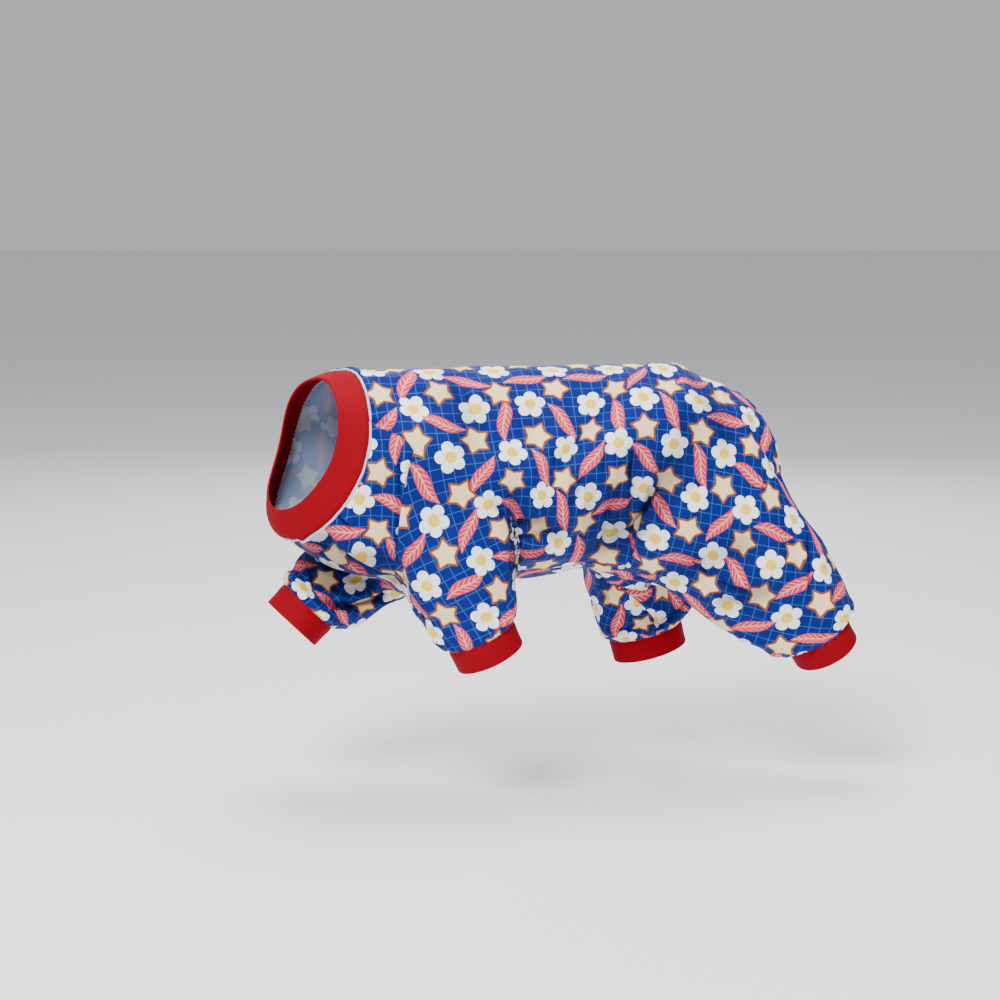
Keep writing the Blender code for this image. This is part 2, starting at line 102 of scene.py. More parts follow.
# The share of inner_drop at each eighth of the half turn from the side to the belly.
INNER_DROP_SHARES = (0.00, 0.06, 0.40, 1.00, 0.18)
# How far the neck rib leans in towards the neck, in degrees, at the nape and at the chest,
# and how far the rear hem turns in towards the opening.
RIB_LEAN_NAPE = 35
RIB_LEAN_CHEST = 62
HEM_TURN_IN = 50

# Each leg: where its cuff seam is centred, as shares of BACK_LENGTH, CHEST_WIDTH and
# CHEST_DEPTH from the origin, how far its cuff leans back from hanging down, and how oval
# the leg stretches its cuff, as the fore and aft width over the diameter.
LEGS = {
    "left_sleeve": dict(
        side=-1, ring=FRONT_HOLE_RING, width=SLEEVE_WIDTH, cuff=FRONT_CUFF_DIAMETER,
        cuff_name="left_front_cuff", cuff_at=(0.030, 0.36, -1.140), cuff_lean=25, oval=1.00,
    ),
    "right_sleeve": dict(
        side=1, ring=FRONT_HOLE_RING, width=SLEEVE_WIDTH, cuff=FRONT_CUFF_DIAMETER,
        cuff_name="right_front_cuff", cuff_at=(-0.315, 0.36, -1.080), cuff_lean=-45, oval=0.92,
    ),
    "left_hind_leg": dict(
        side=-1, ring=HIND_HOLE_RING, width=THIGH_WIDTH, cuff=HIND_CUFF_DIAMETER,
        cuff_name="left_hind_cuff", cuff_at=(0.890, 0.40, -1.215), cuff_lean=33, oval=0.92,
    ),
    "right_hind_leg": dict(
        side=1, ring=HIND_HOLE_RING, width=THIGH_WIDTH, cuff=HIND_CUFF_DIAMETER,
        cuff_name="right_hind_cuff", cuff_at=(0.560, 0.36, -1.275), cuff_lean=15, oval=1.10,
    ),
}

# Rings down each leg. along is the share of the way from the leg's top to its cuff seam,
# bow the step forwards from that line and out the step sideways, as shares of the leg's
# width, fore and side the ring's two widths as shares of the leg's width, lean its tilt
# back and splay the rise of its outer side, in degrees.
LEG_COLUMN_NAMES = ("along", "bow", "out", "fore", "side", "lean", "splay")
LEG_RINGS = {
    "left_sleeve": (
        (0.46, 0.07, 0.00, 1.10, 0.84, 8, 55),
        (0.67, 0.05, 0.00, 0.97, 0.72, 16, 40),
        (0.84, 0.01, 0.00, 0.82, 0.66, 23, 24),
        (0.96, 0.00, 0.00, 0.72, 0.64, 25, 8),
    ),
    "right_sleeve": (
        (0.38, -0.16, 0.08, 0.95, 0.84, -28, 50),
        (0.62, -0.06, 0.06, 0.90, 0.74, -38, 36),
        (0.82, -0.02, 0.02, 0.82, 0.68, -43, 20),
        (0.96, 0.00, 0.00, 0.70, 0.64, -45, 6),
    ),
    "left_hind_leg": (
        (0.50, -0.02, 0.03, 0.98, 0.74, 26, 56),
        (0.70, -0.02, 0.02, 0.88, 0.60, 30, 38),
        (0.88, -0.01, 0.00, 0.78, 0.55, 33, 18),
        (1.02, 0.00, 0.00, 0.62, 0.50, 33, 3),
    ),
    "right_hind_leg": (
        (0.50, 0.00, 0.03, 0.92, 0.74, 4, 54),
        (0.70, 0.00, 0.02, 0.82, 0.60, 8, 36),
        (0.86, 0.00, 0.00, 0.73, 0.54, 13, 18),
        (0.97, 0.00, 0.00, 0.62, 0.50, 15, 5),
    ),
}

# Folds of the cloth, as straight valleys drawn in side view. x, width and depth are shares
# of BACK_LENGTH and z is a drop as a share of CHEST_DEPTH. side is -1 on the left, 1 on the
# right and 0 on both. A negative depth stands out as a ridge.
FOLD_COLUMNS = ("name", "side", "from_x", "from_z", "to_x", "to_z", "width", "depth")
FOLDS = (
    ("chest_swag_upper", 0, -0.110, 0.690, 0.045, 0.830, 0.022, 0.019),
    ("chest_swag_middle", 0, -0.125, 0.760, 0.080, 0.925, 0.022, 0.022),
    ("chest_swag_lower", 0, -0.110, 0.860, 0.095, 0.985, 0.022, 0.016),
    ("left_shoulder", -1, 0.236, 0.105, 0.241, 0.307, 0.030, 0.011),
    ("left_armhole_back", -1, 0.345, 0.560, 0.372, 0.900, 0.026, 0.016),
    ("left_flank", -1, 0.370, 0.640, 0.470, 0.720, 0.026, 0.013),
    ("left_waist_front", -1, 0.535, 0.500, 0.565, 0.800, 0.028, 0.010),
    ("left_waist_middle", -1, 0.612, 0.560, 0.596, 0.800, 0.026, 0.013),
    ("left_waist_back", -1, 0.655, 0.400, 0.635, 0.800, 0.028, 0.013),
    ("left_thigh_upper", -1, 0.740, 0.470, 0.708, 0.611, 0.028, 0.019),
    ("left_thigh_lower", -1, 0.708, 0.611, 0.660, 0.780, 0.028, 0.019),
    ("left_hip", -1, 0.802, 0.249, 0.745, 0.500, 0.036, 0.011),
    ("left_tail", -1, 0.851, 0.107, 0.890, 0.330, 0.030, 0.014),
    ("left_knee", -1, 0.981, 1.009, 0.890, 1.050, 0.026, 0.016),
    ("left_leg_swag", -1, 0.913, 0.802, 0.797, 0.911, 0.036, 0.013),
    ("left_leg_seam_upper", -1, 1.001, 0.560, 1.121, 0.803, 0.022, -0.005),
    ("left_leg_seam_lower", -1, 1.121, 0.803, 1.130, 1.098, 0.022, -0.005),
    ("left_sleeve_front", -1, 0.060, 0.800, 0.120, 1.060, 0.032, 0.011),
    ("right_sleeve_front", 1, -0.085, 0.829, -0.064, 1.067, 0.026, 0.016),
    ("right_sleeve_under", 1, -0.050, 0.985, 0.100, 1.030, 0.026, 0.016),
    ("right_sleeve_back", 1, 0.230, 0.600, 0.120, 0.880, 0.032, 0.016),
    ("right_flank", 1, 0.350, 0.420, 0.440, 0.700, 0.034, 0.013),
    ("right_waist_front", 1, 0.545, 0.450, 0.570, 0.790, 0.030, 0.013),
    ("right_waist_back", 1, 0.640, 0.420, 0.620, 0.800, 0.030, 0.013),
    ("right_thigh", 1, 0.820, 0.300, 0.730, 0.640, 0.036, 0.016),
    ("right_seat", 1, 0.930, 0.350, 0.860, 0.720, 0.036, 0.016),
    ("right_leg", 1, 0.700, 0.940, 0.640, 1.100, 0.030, 0.013),
)


def smooth_between(values, position):
    """Cubic through evenly weighted control values; position counts from the first."""
    last = len(values) - 1
    start = min(int(position), last - 1)
    share = position - start
    a, b = values[start], values[start + 1]
    before = values[start - 1] if start else 2 * a - b
    after = values[start + 2] if start + 2 <= last else 2 * b - a
    slope_a, slope_b = (b - before) / 2, (after - a) / 2
    return (a * (2 * share**3 - 3 * share**2 + 1) + slope_a * (share**3 - 2 * share**2 + share)
            + b * (3 * share**2 - 2 * share**3) + slope_b * (share**3 - share**2))


def torso_point(ring, column):
    """A cage point: column 0 is the spine, and columns count over the left side."""
    row = dict(zip(RING_COLUMNS, TORSO_RINGS[ring]))
    angle = 2 * math.pi * column / COLUMNS
    turn = min(angle, 2 * math.pi - angle)
    x_quarter = (row["x_top"] + row["x_side"]) / 2
    controls = (row["x_top"], x_quarter, row["x_side"], row["x_inner"], row["x_belly"])
    x = smooth_between(controls, turn / (math.pi / 4)) * BACK_LENGTH - WITHERS_FROM_NECK
    top, belly = -row["top"] * CHEST_DEPTH, -row["belly"] * CHEST_DEPTH
    rounding = 2 / SECTION_POWER
    cosine = math.copysign(abs(math.cos(angle)) ** rounding, math.cos(angle))
    sine = math.copysign(abs(math.sin(angle)) ** rounding, math.sin(angle))
    y = -sine * row["width"] * CHEST_WIDTH / 2
    inner = smooth_between(INNER_DROP_SHARES, max(turn / (math.pi / 8) - 4, 0))
    z = (top + belly) / 2 + cosine * (top - belly) / 2 - inner * row["inner_drop"] * CHEST_DEPTH
    return np.array((x + row["twist"] * y, y, z + CLOTH_WALL))


def neck_rib_rings(seam):
    """Rings of the neck rib from its edge back to the seam, leaning in towards the neck."""
    centre = np.mean(seam, axis=0)
    rise = seam[0] - seam[COLUMNS // 2]
    across = seam[COLUMNS * 3 // 4] - seam[COLUMNS // 4]
    normal = np.cross(rise, across)
    normal /= np.linalg.norm(normal)
    rings = []
    for step in range(NECK_RIB_RINGS, 0, -1):
        ring = []
        for column, point in enumerate(seam):
            to_chest = (1 - math.cos(2 * math.pi * column / COLUMNS)) / 2
            lean = math.radians(RIB_LEAN_NAPE + (RIB_LEAN_CHEST - RIB_LEAN_NAPE) * to_chest)
            inward = (centre - point) / np.linalg.norm(centre - point)
            way = normal * math.cos(lean) + inward * math.sin(lean)
            ring.append(point + way * NECK_RIB_HEIGHT * step / NECK_RIB_RINGS)
        rings.append(ring)
    return rings


def hem_ring(seam, before):
    """The free edge of the rear hem, turned in from the cloth that leads to its seam."""
    centre = np.mean(seam, axis=0)
    turn = math.radians(HEM_TURN_IN)
    ring = []
    for point, previous in zip(seam, before):
        onward = (point - previous) / np.linalg.norm(point - previous)
        inward = (centre - point) / np.linalg.norm(centre - point)
        way = onward * math.cos(turn) + inward * math.sin(turn)
        ring.append(point + way / np.linalg.norm(way) * HEM_WIDTH)
    return ring


def hole_loop(leg):
    """(ring, column) of the cage points round a leg's hole, from its outer side forwards."""
    first, last = leg["ring"], leg["ring"] + HOLE_RINGS
    middle = (first + last) // 2
    top, low = HOLE_TOP_COLUMN, HOLE_LOW_COLUMN
    loop = [(ring, top) for ring in range(middle, first, -1)]
    loop += [(first, column) for column in range(top, low)]
    loop += [(ring, low) for ring in range(first, last)]
    loop += [(last, column) for column in range(low, top, -1)]
    loop += [(ring, top) for ring in range(last, middle, -1)]
    if leg["side"] > 0:
        loop = [(ring, COLUMNS - column) for ring, column in loop]
    return loop


def leg_ring(leg, centre, fore, side, lean, splay):
    """The points of one ring of a leg, from its outer side forwards."""
    lean, splay = math.radians(lean), math.radians(splay)
    outer = np.array((0.0, leg["side"] * math.cos(splay), math.sin(splay)))
    forward = np.array((-math.cos(lean), 0.0, -math.sin(lean)))
    points = []
    for column in range(LEG_COLUMNS):
        angle = 2 * math.pi * column / LEG_COLUMNS
        points.append(centre + outer * math.cos(angle) * side / 2
                      + forward * math.sin(angle) * fore / 2)
    return points


def leg_rings(name, leg, root):
    """The rings of a leg below its hole, and those of its cuff, as lists of points."""
    share_x, share_y, share_z = leg["cuff_at"]
    cuff_centre = np.array((share_x * BACK_LENGTH, leg["side"] * share_y * CHEST_WIDTH,
                            share_z * CHEST_DEPTH))
    lean = math.radians(leg["cuff_lean"])
    down = np.array((math.sin(lean), 0.0, -math.cos(lean)))
    forward = np.array((-math.cos(lean), 0.0, -math.sin(lean)))
    outward = np.array((0.0, leg["side"], 0.0))
    rings = []
    for values in LEG_RINGS[name]:
        row = dict(zip(LEG_COLUMN_NAMES, values))
        centre = root + (cuff_centre - root) * row["along"]
        centre += (forward * row["bow"] + outward * row["out"]) * leg["width"]
        rings.append(leg_ring(leg, centre, row["fore"] * leg["width"],
                              row["side"] * leg["width"], row["lean"], row["splay"]))
    for step in range(CUFF_RINGS + 1):
        centre = cuff_centre + down * CUFF_HEIGHT * step / CUFF_RINGS
        rings.append(leg_ring(leg, centre, leg["cuff"] * leg["oval"],
                              leg["cuff"] / leg["oval"], leg["cuff_lean"], 0))
    return rings


def torso_panel(ring, column):
    """The name of the panel that a torso face belongs to, or None over a leg's hole."""
    from_spine = min(column, COLUMNS - 1 - column)
    in_hole_columns = HOLE_TOP_COLUMN <= from_spine < HOLE_LOW_COLUMN
    for first in (FRONT_HOLE_RING, HIND_HOLE_RING):
        if in_hole_columns and first <= ring < first + HOLE_RINGS:
            return None
    if ring < 0:
        return "neck_rib"
    if ring >= len(TORSO_RINGS) - 1:
        return "rear_elastic_hem"
    if ring < FRONT_HOLE_RING and from_spine >= HOLE_TOP_COLUMN:
        return "chest_panel"
    return "chest_panel" if from_spine >= HOLE_LOW_COLUMN else "back_panel"


def cloth_before_trim(ring, rings):
    """1 on the last ring of cloth before a trim's seam, where the cloth is gathered, else 0."""
    return 1.0 if ring == rings - 1 else 0.0


def build_cage():
    """Cage points, faces, each face's panel name and each corner's column and gather."""
    points, faces, panels, places, index = [], [], [], [], {}

    def add_ring(name, ring, ring_points):
        for column, point in enumerate(ring_points):
            index[(name, ring, column)] = len(points)
            points.append(point)

    def add_face(corners, panel, column, gathers, turned=False):
        place = [(column, gathers[0]), (column + 1, gathers[0]),
                 (column + 1, gathers[1]), (column, gathers[1])]
        faces.append(corners[::-1] if turned else corners)
        places.append(place[::-1] if turned else place)
        panels.append(panel)

    seam_ring = len(TORSO_RINGS) - 1
    torso = [[torso_point(ring, column) for column in range(COLUMNS)]
             for ring in range(len(TORSO_RINGS))]
    torso = neck_rib_rings(torso[0]) + torso + [hem_ring(torso[-1], torso[-2])]
    for position, ring_points in enumerate(torso):
        add_ring("torso", position - NECK_RIB_RINGS, ring_points)
    for ring in range(-NECK_RIB_RINGS, len(TORSO_RINGS)):
        gathers = [cloth_before_trim(r, seam_ring) for r in (ring, ring + 1)]
        for column in range(COLUMNS):
            panel = torso_panel(ring, column)
            if panel is None:
                continue
            after = (column + 1) % COLUMNS
            corners = ((ring, column), (ring, after), (ring + 1, after), (ring + 1, column))
            add_face([index[("torso", *corner)] for corner in corners], panel, column, gathers)
    for name, leg in LEGS.items():
        loop = [index[("torso", ring, column % COLUMNS)] for ring, column in hole_loop(leg)]
        root = np.mean([points[i] for i in loop], axis=0)
        below = leg_rings(name, leg, root)
        for ring, ring_points in enumerate(below):
            add_ring(name, ring, ring_points)
        rings = [loop]
        rings += [[index[(name, r, c)] for c in range(LEG_COLUMNS)] for r in range(len(below))]
        cuff_seam = len(below) - CUFF_RINGS
        for step in range(len(below)):
            upper, lower = rings[step], rings[step + 1]
            gathers = [cloth_before_trim(r, cuff_seam) for r in (step, step + 1)]
            for column in range(LEG_COLUMNS):
                after = (column + 1) % LEG_COLUMNS
                corners = [upper[column], upper[after], lower[after], lower[column]]
                add_face(corners, leg["cuff_name"] if step >= cuff_seam else name, column,
                         gathers, turned=leg["side"] > 0)
    used = sorted({corner for face in faces for corner in face})
    renumber = {old: new for new, old in enumerate(used)}
    faces = [[renumber[corner] for corner in face] for face in faces]
    return [points[i] for i in used], faces, panels, places


def is_trim(panel):
    return panel in ("neck_rib", "rear_elastic_hem") or panel.endswith("cuff")


def fold_drops(co, normals):
    """How far each point of the cloth sinks into the folds."""
    drops = np.zeros(len(co))
    side_view = co[:, [0, 2]]
    for values in FOLDS:
        row = dict(zip(FOLD_COLUMNS, values))
        start, end = (
            np.array((row[x] * BACK_LENGTH - WITHERS_FROM_NECK, -row[z] * CHEST_DEPTH))
            for x, z in (("from_x", "from_z"), ("to_x", "to_z"))
        )
        way = end - start
        along = np.clip((side_view - start) @ way / (way @ way), 0, 1)
        distance = np.linalg.norm(side_view - start - along[:, None] * way, axis=1)
        drop = row["depth"] * BACK_LENGTH * np.exp(-(distance / (row["width"] * BACK_LENGTH)) ** 2)
        if row["side"]:
            drop *= np.clip(2 * row["side"] * normals[:, 1], 0, 1) * (co[:, 1] * row["side"] > 0)
        drops += drop
    return drops


# Camera, at the photo's angle: degrees, metres, and millimetres for lens and sensor.
VIEW_YAW = -17
VIEW_RISE = 8
VIEW_DISTANCE = 1.6
VIEW_LENS = 72
SENSOR_WIDTH = 36
VIEW_CENTRE = (0.0418, 0.0, -0.1115)

# The studio: a floor below the origin, a pale surround, and each light's name, place,
# width in metres and power in watts.
FLOOR_DROP = 0.352
FLOOR_REACH = 30.0
FLOOR_SIDES = 64
FLOOR_COLOUR = (0.86, 0.86, 0.87)
FLOOR_ROUGHNESS = 0.8
SURROUND_COLOUR = (0.93, 0.94, 0.96)
SURROUND_STRENGTH = 0.55
LIGHTS = (
    ("key_box", (-1.0, -1.2, 1.6), 0.8, 84),
    ("fill_box", (1.7, -1.2, 0.8), 1.2, 12),
    ("top_box", (0.1, 0.2, 1.7), 1.0, 34),
    ("rim_box", (0.7, 1.7, 0.8), 1.2, 14),
)

# Smoothing levels: the simulated cloth, and what is added before the panels are cut.
SETTLE_LEVELS = 2
FINISH_LEVELS = 2

# How much deeper the worn cloth's folds are than the plain part's, and the depths at which a
# fold's and a crease's painted shade is full.
FOLD_GAIN = 1.35
CREASE_GAIN = 1.45
LEAN_GAIN = 0.85
FOLD_DROP_AT_FULL_SHADE = 0.0055
CREASE_DROP_AT_FULL_SHADE = 0.0040

# The hidden form that holds the cloth out, and how the cloth settles on it. A point moves
# MOST_MOVE at most, and less within STILL_REACH of a trim.
FORM_INSET = 0.0085
FORM_FRICTION = 12
SPARE_CLOTH = 0.05
CLOTH_GAP = 0.001
CLOTH_MASS = 0.15
STRETCH_STIFFNESS = 18
SHEAR_STIFFNESS = 6
BENDING_STIFFNESS = 0.25
CLOTH_DAMPING = 12
AIR_DAMPING = 2
PULL_SHARE = 0.35
SETTLE_QUALITY = 6
COLLISION_QUALITY = 2
SETTLE_FRAMES = 26
MOST_MOVE = 0.008
STILL_REACH = 0.022
EVEN_ROUNDS = 2

# What a length is divided by when it would be zero.
TINY = 1e-9

# Sharper creases of the worn cloth: a ridge that leans over the valley beside it. The
# ridge is on the right of a crease that runs down the photo. Sizes are in millimetres, and
# the points are the pixels of the photo where the crease shows.
PHOTO_SIZE = 1000
CREASE_COLUMNS = ("name", "width", "height", "lean", "photo_points")
CREASES = (
    ("chest_swag_upper", 6.5, 6.0, 3.6,
     ((324, 538), (350, 552), (372, 567), (392, 580))),
    ("chest_swag_middle", 5.5, 4.6, 2.4,
     ((313, 549), (335, 562), (362, 575), (391, 584))),
    ("chest_swag_low", 7.0, 5.0, 1.4,
     ((318, 593), (338, 600), (357, 601), (377, 595), (393, 589))),
    ("far_sleeve_bend", 4.5, 3, 1.5,
     ((311, 588), (309, 572), (306, 560))),
    ("neck_front_fold", 4.5, 3.4, 1.8,
     ((297, 543), (311, 545), (327, 546))),
    ("chest_side_fold", 4.5, 3.2, 1.6,
     ((336, 511), (345, 519), (354, 527))),
    ("shoulder_seam_fold", 3.6, 1.6, 1.4,
     ((400, 430), (402, 465), (401, 492), (398, 523), (398, 545), (397, 566))),
    ("shoulder_top_fold", 4, 1.4, 0.8,
     ((366, 417), (384, 421), (398, 426))),
    ("upper_back_valley", 8, 2, 0,
     ((462, 378), (471, 400), (473, 436))),
    ("behind_sleeve", 5, 2.4, 0.8,
     ((515, 578), (511, 545), (508, 523), (498, 511), (484, 498))),
    ("sleeve_drag_upper", 6, 3, 2,
     ((510, 521), (527, 516), (548, 511))),
    ("sleeve_drag_middle", 7, 2.4, 1,
     ((514, 537), (535, 531), (558, 522))),
    ("sleeve_drag_low", 6, 2.2, 1.2,
     ((517, 555), (535, 547), (552, 541))),
    ("waist_gather_rear", 5, 2.6, 1.6,
     ((626, 518), (629, 495), (627, 468), (630, 440))),
    ("waist_gather_front", 5, 2.6, 2,
     ((615, 500), (610, 523), (607, 539), (605, 550))),
    ("waist_gather_top", 5.5, 1.8, 1,
     ((609, 440), (606, 459), (605, 475))),
    ("flank_valley", 8, 2.2, 0.4,
     ((584, 466), (581, 490), (566, 512))),
    ("thigh_front", 6, 4.8, 3.8,
     ((669, 476), (661, 495), (648, 512), (637, 526), (633, 540), (631, 552))),
    ("thigh_front_edge", 5, 2.4, 1,
     ((641, 520), (649, 502), (661, 486))),
    ("hip_fold", 5, 2.2, 1.2,
     ((718, 378), (722, 392), (719, 418))),
    ("hip_cross_fold", 5, 2, 1.4,
     ((674, 491), (690, 482), (704, 480))),
    ("hip_print_fold", 4.2, 2, 1.4,
     ((698, 445), (690, 461), (684, 474))),
    ("rear_seam_upper", 4, 1.6, 1.2,
     ((765, 508), (763, 490), (765, 468))),
    ("rear_seam_lower", 4.2, 2.2, 1.6,
     ((808, 600), (809, 567), (807, 527))),
    ("knee_fold", 5, 2.6, 1.4,
     ((717, 577), (735, 587), (750, 590))),
    ("knee_fold_low", 4.2, 2, 1,
     ((722, 594), (737, 604), (748, 611))),
    ("inner_thigh_fold", 4.2, 2.4, 1.4,
     ((691, 557), (703, 569), (714, 580))),
    ("sleeve_front_low", 4, 1.8, 1.2,
     ((420, 594), (424, 612), (431, 628))),
    ("far_leg_fold", 5.5, 2.2, 1,
     ((604, 565), (606, 585), (613, 606))),
)
MILLIMETRE = 0.001
FARTHEST_CREASE = 0.018

# A crease in section: where its ridge, valley and lean lie and how far they spread, as
# shares of its width, what the ridge and valley take of its height, and over what share of
# its length it fades at each end.
RIDGE_AT = 0.60
RIDGE_SPREAD = 0.60
RIDGE_SHARE = 0.55
VALLEY_AT = -0.35
VALLEY_SPREAD = 0.45
VALLEY_SHARE = 0.75
LEAN_AT = 0.30
LEAN_SPREAD = 0.55
CREASE_FADE = 0.22

# Seams: the groove, the puckers beside it and the painted shade that darkens it.
SEAM_SEARCH = 0.030
GROOVE_DEPTH = 0.0011
GROOVE_WIDTH = 0.0024
PUCKER_HEIGHT = 0.0005
PUCKER_SIZE = 0.0042
PUCKER_REACH = 0.007
PUCKER_SEARCH = 0.025
SEAM_SHADE_WIDTH = 0.0012

# Gathers beside the trims. They wander by slow waves: the size of each, how many go round,
# and where it starts. The cloth also stands a little fuller beside a trim.
CUFF_GATHER_HEIGHT = 0.0016
CUFF_GATHER_REACH = 0.016
HEM_GATHER_HEIGHT = 0.0012
HEM_GATHER_REACH = 0.012
HEM_NEARER = 0.002
GATHERS_ROUND = 21
GATHER_WANDER = ((1.3, 3, 0), (0.9, 5, 1))
GATHER_SWELL = (0.35, 4, 2)
GATHER_RISE = 0.0035
FULLNESS = 0.0009
FULLNESS_REACH = 0.006

# The round free edge of a panel has this many faces.
EDGE_STEPS = 4

# How high each trim is but the cuffs, and what a trim's seam takes in.
TRIM_HEIGHTS = {"neck_rib": NECK_RIB_HEIGHT, "rear_elastic_hem": HEM_WIDTH}
SEAM_TAKEN_IN = 0.002

# A panel that fills less of its box than this is measured by its mean width and its length.
LEAST_BOX_SHARE = 0.3

# The print, in metres. The motifs of one kind stand in staggered rows.
MOTIF_SPACING = 0.0262
ROW_STEP = MOTIF_SPACING * 1.5
COLUMN_STEP = MOTIF_SPACING * math.sqrt(3)
MOTIF_JITTER = 0.0022
PRINT_EDGE = 0.0003
GRID_SPACING = 0.0084
GRID_LINE = 0.0005
GRID_STRENGTH = 0.8

# Blossoms: a petal's notch is a share of the radius, and its shade lies by the notch.
BLOSSOM_SEED = 11.0
BLOSSOM_RADIUS = 0.0118
BLOSSOM_CENTRE = 0.0044
PETALS = 5
PETAL_POWER = 0.6
PETAL_NOTCH = 0.4
SHADE_EDGE = 0.3
SHADE_SOFT = 0.5
SHADE_FROM_CENTRE = 0.003
SHADE_STRENGTH = 0.7

# Stars: the tips are cut round at a share of the radius.
STAR_SEED = 7.0
STAR_POINTS = 5
STAR_RADIUS = 0.0132
STAR_NOTCH = 0.0080
STAR_OUTLINE = 0.0016
STAR_TIP_SHARE = 0.93

# Leaves: half their length and width, how far they bow, their midrib and their veins.
LEAF_SEED = 3.0
LEAF_LENGTH = 0.0185
LEAF_WIDTH = 0.0054
LEAF_BOW = 0.0014
MIDRIB_SHARE = 0.09
MIDRIB_LEAST = 0.0002
VEIN_SPACING = 0.0046
VEIN_SLANT = 1.4
VEIN_EDGE = 0.62
VEIN_SOFT = 0.3
VEIN_MARGIN = 0.0007
VEIN_STRENGTH = 0.85

# The cloth: patches of tone and shine, and the height of its knit and its unevenness.
TONE_PATCH = 0.05
TONE_DARKEST = 0.86
TONE_LIGHTEST = 1.10
SHINE_PATCH = 0.02
ROUGHNESS_LEAST = 0.46
ROUGHNESS_SPREAD = 0.16
CLOTH_SPECULAR = 0.12
# Painted shade: how far the seam grooves and the fold valleys are darkened towards a dark blue.
SEAM_SHADE_SHARE = 0.45
FOLD_SHADE_SHARE = 0.55
KNIT_COLUMN = 0.0009
KNIT_ROW = 0.0007
KNIT_SHARE = 0.25
UNEVEN_PATCH = 0.012
UNEVEN_DETAIL = 3.0
UNEVEN_SHARE = 1.2
WEAVE_DEPTH = 0.0004
WEAVE_STRENGTH = 0.8

# Its wrong side, where the print shows through a little.
REVERSE_PATCH = 0.01
REVERSE_DARKEST = 0.9
REVERSE_ROUGHNESS = 0.8
PRINT_THROUGH = 0.22

# The rib knit: ribs to a column of the cage, and what ribs and grain add to tone and height. The
# ribs' share of the tone is painted shade in their valleys; the grain's share is a random speckle.
NECK_RIBS = 9
CUFF_RIBS = 7
RIB_GRAIN_SCALE = 900
RIB_VALLEY_SHADE = 0.45
GRAIN_TONE = 0.5
RIB_ROUGHNESS = 0.72
RIB_SPECULAR = 0.06
RIB_RELIEF = 0.35
GRAIN_RELIEF = 0.6
RIB_DEPTH = 0.0002
RIB_STRENGTH = 0.45

# Thread: the pale edge outside the neck seam and the overlock zigzag inside it.
THREAD_GRAIN_SCALE = 700
THREAD_GRAIN_SOFT = 0.25
THREAD_DARKEST = 0.55
THREAD_ROUGHNESS = 0.7
THREAD_DEPTH = 0.0002
NECK_EDGE_LIFT = 0.0006
NECK_EDGE_OFF_RIB = 0.0007
NECK_EDGE_RADIUS = 0.0010
NECK_EDGE_SIDES = 8
OVERLOCK_GAP = 0.0002
OVERLOCK_STITCHES = 110
OVERLOCK_ON_CLOTH = 0.0035
OVERLOCK_ON_RIB = 0.0015
OVERLOCK_RADIUS = 0.00028
OVERLOCK_SIDES = 5
NEVER_ALONG_THREAD = (0.3, 0.1, 0.95)

# Colours, as linear red, green and blue.
GROUND_BLUE = (0.000, 0.009, 0.160)
GRID_BLUE = (0.026, 0.135, 0.520)
# The dark blue of the painted shade in the seam grooves and the fold valleys.
PAINTED_SHADE_BLUE = (0.000, 0.002, 0.030)
BLOSSOM_WHITE = (0.960, 0.965, 0.950)
BLOSSOM_SHADE = (0.560, 0.650, 0.760)
CENTRE_YELLOW = (0.920, 0.620, 0.060)
CREAM = (0.940, 0.700, 0.380)
OUTLINE_BROWN = (0.260, 0.070, 0.008)
CORAL = (0.600, 0.035, 0.060)
CORAL_PALE = (0.860, 0.330, 0.340)
RIB_RED = (0.250, 0.000, 0.008)
# The darker red, for the painted shade in the rib valleys and for the grain's darker specks.
RIB_SHADE_AND_GRAIN_RED = (0.200, 0.000, 0.005)
WRONG_SIDE = (0.330, 0.430, 0.640)
THREAD_PALE = (0.620, 0.740, 0.900)

# How the print lies on each cut of cloth: turned from the grain, in degrees, and moved.
RIGHT_ANGLE = 90
CUT_COLUMNS = ("panels", "turn", "along", "across")
CUTS = (
    (("back_panel", "left_sleeve", "right_sleeve", "left_hind_leg", "right_hind_leg"),
     -6, 0.004, 0.010),
    (("chest_panel",), 38, 0.013, 0.002),
)

# The length of the trims along one column, for the print and the knit.
TRIM_COLUMN_LENGTH = 0.0275

# The cloth runs on unbroken from the back to a leg up to these columns of the leg.
UNBROKEN = {"left_sleeve": (2, 12), "right_sleeve": (2, 12),
            "left_hind_leg": (3, 13), "right_hind_leg": (3, 13)}
COLUMN_SLACK = 0.0001


def view_back():
    """The way from the middle of the view to the camera."""
    turn, rise = math.radians(VIEW_YAW), math.radians(VIEW_RISE)
    level = math.cos(rise)
    return Vector((math.sin(turn) * level, -math.cos(turn) * level, math.sin(rise)))


def make_camera():
    back = view_back()
    data = bpy.data.cameras.new("camera")
    data.lens = VIEW_LENS
    data.sensor_width = SENSOR_WIDTH
    camera = bpy.data.objects.new("camera", data)
    camera.location = Vector(VIEW_CENTRE) + back * VIEW_DISTANCE
    camera.rotation_euler = back.to_track_quat("Z", "Y").to_euler()
    bpy.context.scene.collection.objects.link(camera)
    bpy.context.scene.camera = camera


def area_light(name, place, size, power):
    data = bpy.data.lights.new(name, "AREA")
    data.size = size
    data.energy = power
    light = bpy.data.objects.new(name, data)
    light.location = place
    light.rotation_euler = (Vector(place) - Vector(VIEW_CENTRE)).to_track_quat("Z", "Y").to_euler()
    bpy.context.scene.collection.objects.link(light)


